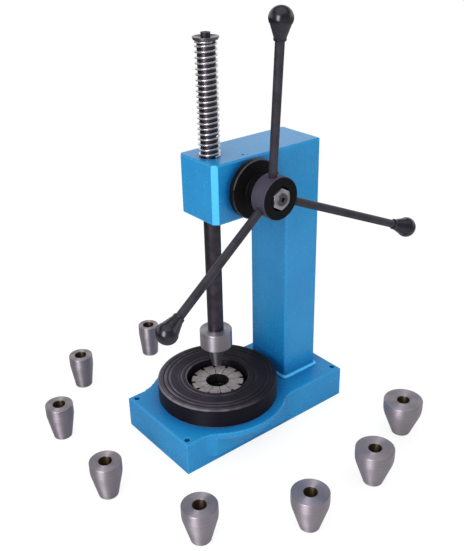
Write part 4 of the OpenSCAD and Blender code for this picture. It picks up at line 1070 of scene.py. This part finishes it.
class PRESS_OT_stage(bpy.types.Operator):
    """Set the pale floor, the soft lights and the camera"""

    bl_idname = "press.stage"
    bl_label = "Stage"

    def execute(self, context):
        stage = context.scene.press_stage
        context.scene.view_settings.view_transform = "Standard"
        self.world(context.scene, stage)
        self.floor(stage)
        self.softbox("key_light", stage.key_place, stage.aim, stage.key_size, stage.key)
        strip = self.softbox("strip_light", stage.key_place, stage.aim, stage.key_size, stage.strip)
        strip.visible_diffuse = False
        fill = self.softbox("fill_light", stage.fill_place, stage.aim, [stage.fill_size] * 2, stage.fill)
        fill.visible_glossy = False
        self.camera(context.scene, stage)
        return {"FINISHED"}

    def seen(self, nodes):
        """1 for the rays that look at the background: from the camera, by reflection or through glass."""
        path = nodes.node("ShaderNodeLightPath").outputs
        seen = Number(nodes, path["Is Camera Ray"])
        return seen.above(Number(nodes, path["Is Glossy Ray"])).above(Number(nodes, path["Is Transmission Ray"]))

    def mirrored(self, nodes):
        """1 for the rays that come by reflection."""
        return Number(nodes, nodes.node("ShaderNodeLightPath").outputs["Is Glossy Ray"])

    def world(self, scene, stage):
        """White to look at, a grey light that is stronger from above, and in reflections a low white backdrop in a
        dim room with a bright ceiling."""
        scene.world = bpy.data.worlds.new("studio")
        scene.world.use_nodes = True
        nodes = Nodes(scene.world.node_tree)
        direction = nodes.node("ShaderNodeTexCoord").outputs["Generated"]
        behind = nodes.dot(direction, stage.backdrop).span(*BACKDROP_SIDES)
        rise = nodes.parts(direction)[2]
        backdrop = behind * (1 - rise.span(*BACKDROP_TOP))
        ceiling = (rise + CEILING_LEAN * (1 - behind)).span(*CEILING_EDGE)
        room = stage.room + (stage.ceiling - stage.room) * ceiling
        level = 1 - self.mirrored(nodes) * (1 - backdrop) * (1 - room)
        light = nodes.node("ShaderNodeBackground", None, {
            "Color": (1, 1, 1, 1), "Strength": stage.ambient + stage.overhead * rise.above(0)})
        white = nodes.node("ShaderNodeBackground", None, {"Color": (1, 1, 1, 1), "Strength": level})
        both = nodes.node("ShaderNodeMixShader", None,
                          {0: self.seen(nodes), 1: light.outputs[0], 2: white.outputs[0]})
        nodes.node("ShaderNodeOutputWorld", None, {"Surface": both.outputs[0]})

    def floor(self, stage):
        """Large pale floor that looks white and keeps a soft shadow. In reflections it is darker in front and close
        to the press."""
        half, below = 30.0, -0.0002
        mesh = bpy.data.meshes.new("pale_floor")
        mesh.from_pydata([(-half, -half, below), (half, -half, below), (half, half, below), (-half, half, below)],
                         [], [(0, 1, 2, 3)])
        floor = bpy.data.objects.new("pale_floor", mesh)
        bpy.context.scene.collection.objects.link(floor)
        material, nodes = new_finish("pale floor")
        paper = nodes.node("ShaderNodeBsdfDiffuse", None, {"Color": (0.9, 0.9, 0.9, 1)})
        behind = nodes.dot(nodes.place(), stage.floor_back).span(*FLOOR_CHANGE)
        shade = 1 - SHADE_DEPTH * (1 - nodes.from_axis().span(*FLOOR_SHADE))
        level = (stage.floor_near + (stage.floor_far - stage.floor_near) * behind) * shade
        level = 1 - self.mirrored(nodes) * (1 - level)
        white = nodes.node("ShaderNodeEmission", None, {"Color": (1, 1, 1, 1), "Strength": level})
        share = stage.floor + (1 - stage.floor) * nodes.from_axis().span(*SHADOW_END)
        both = nodes.node("ShaderNodeMixShader", None, {
            0: share * self.seen(nodes), 1: paper.outputs[0], 2: white.outputs[0]})
        nodes.node("ShaderNodeOutputMaterial", None, {"Surface": both.outputs[0]})
        mesh.materials.append(material)

    def softbox(self, name, place, aim, size, power):
        """Soft light of a width and a height that looks at a point."""
        lamp = bpy.data.lights.new(name, "AREA")
        lamp.shape = "RECTANGLE"
        lamp.size, lamp.size_y = size
        lamp.energy = power
        light = bpy.data.objects.new(name, lamp)
        light.location = place
        light.rotation_euler = (Vector(aim) - Vector(place)).to_track_quat("-Z", "Y").to_euler()
        light.visible_camera = False
        bpy.context.scene.collection.objects.link(light)
        return light

    def camera(self, scene, stage):
        """Camera of the photograph: yaw about the vertical, then pitch down, then roll about the line of sight."""
        yaw, pitch, roll = np.radians(stage.camera_turn)
        ahead = np.array([-np.sin(yaw) * np.cos(pitch), np.cos(yaw) * np.cos(pitch), -np.sin(pitch)])
        right = np.array([np.cos(yaw), np.sin(yaw), 0])
        above = np.cross(right, ahead)
        rolled_right = np.cos(roll) * right + np.sin(roll) * above
        rolled_above = np.cos(roll) * above - np.sin(roll) * right
        camera = bpy.data.objects.new("camera", bpy.data.cameras.new("camera"))
        camera.data.lens = stage.focal
        camera.data.clip_end = 200
        turn = np.stack([rolled_right, rolled_above, -ahead], axis=1)
        camera.matrix_world = Matrix.Translation(stage.camera_place) @ Matrix(turn.tolist()).to_4x4()
        scene.collection.objects.link(camera)
        scene.camera = camera


STEPS = (PRESS_OT_frame, PRESS_OT_ring, PRESS_OT_collet, PRESS_OT_hub, PRESS_OT_handles, PRESS_OT_ram,
         PRESS_OT_return_spring, PRESS_OT_mandrels, PRESS_OT_fittings, PRESS_OT_stage)


class PRESS_PT_panel(bpy.types.Panel):
    """Steps, sizes and colours of the press"""

    bl_idname = "PRESS_PT_panel"
    bl_label = "Bangle sizing press"
    bl_space_type = "VIEW_3D"
    bl_region_type = "UI"
    bl_category = "Press"

    def draw(self, context):
        for step in STEPS:
            self.layout.operator(step.bl_idname)
        for group in (context.scene.press_sizes, context.scene.press_colours, context.scene.press_stage):
            box = self.layout.box()
            for name in group.__annotations__:
                box.prop(group, name)


GROUPS = {"press_sizes": PressSizes, "press_colours": PressColours, "press_stage": PressStage}


def register():
    for cls in (*GROUPS.values(), *STEPS, PRESS_PT_panel):
        bpy.utils.register_class(cls)
    for name, group in GROUPS.items():
        setattr(bpy.types.Scene, name, PointerProperty(type=group))


def unregister():
    for name in GROUPS:
        delattr(bpy.types.Scene, name)
    for cls in reversed((*GROUPS.values(), *STEPS, PRESS_PT_panel)):
        bpy.utils.unregister_class(cls)


def main():
    """Dress the press and set the stage."""
    register()
    for step in STEPS:
        group, name = step.bl_idname.split(".")
        getattr(getattr(bpy.ops, group), name)()


if __name__ == "__main__":
    main()
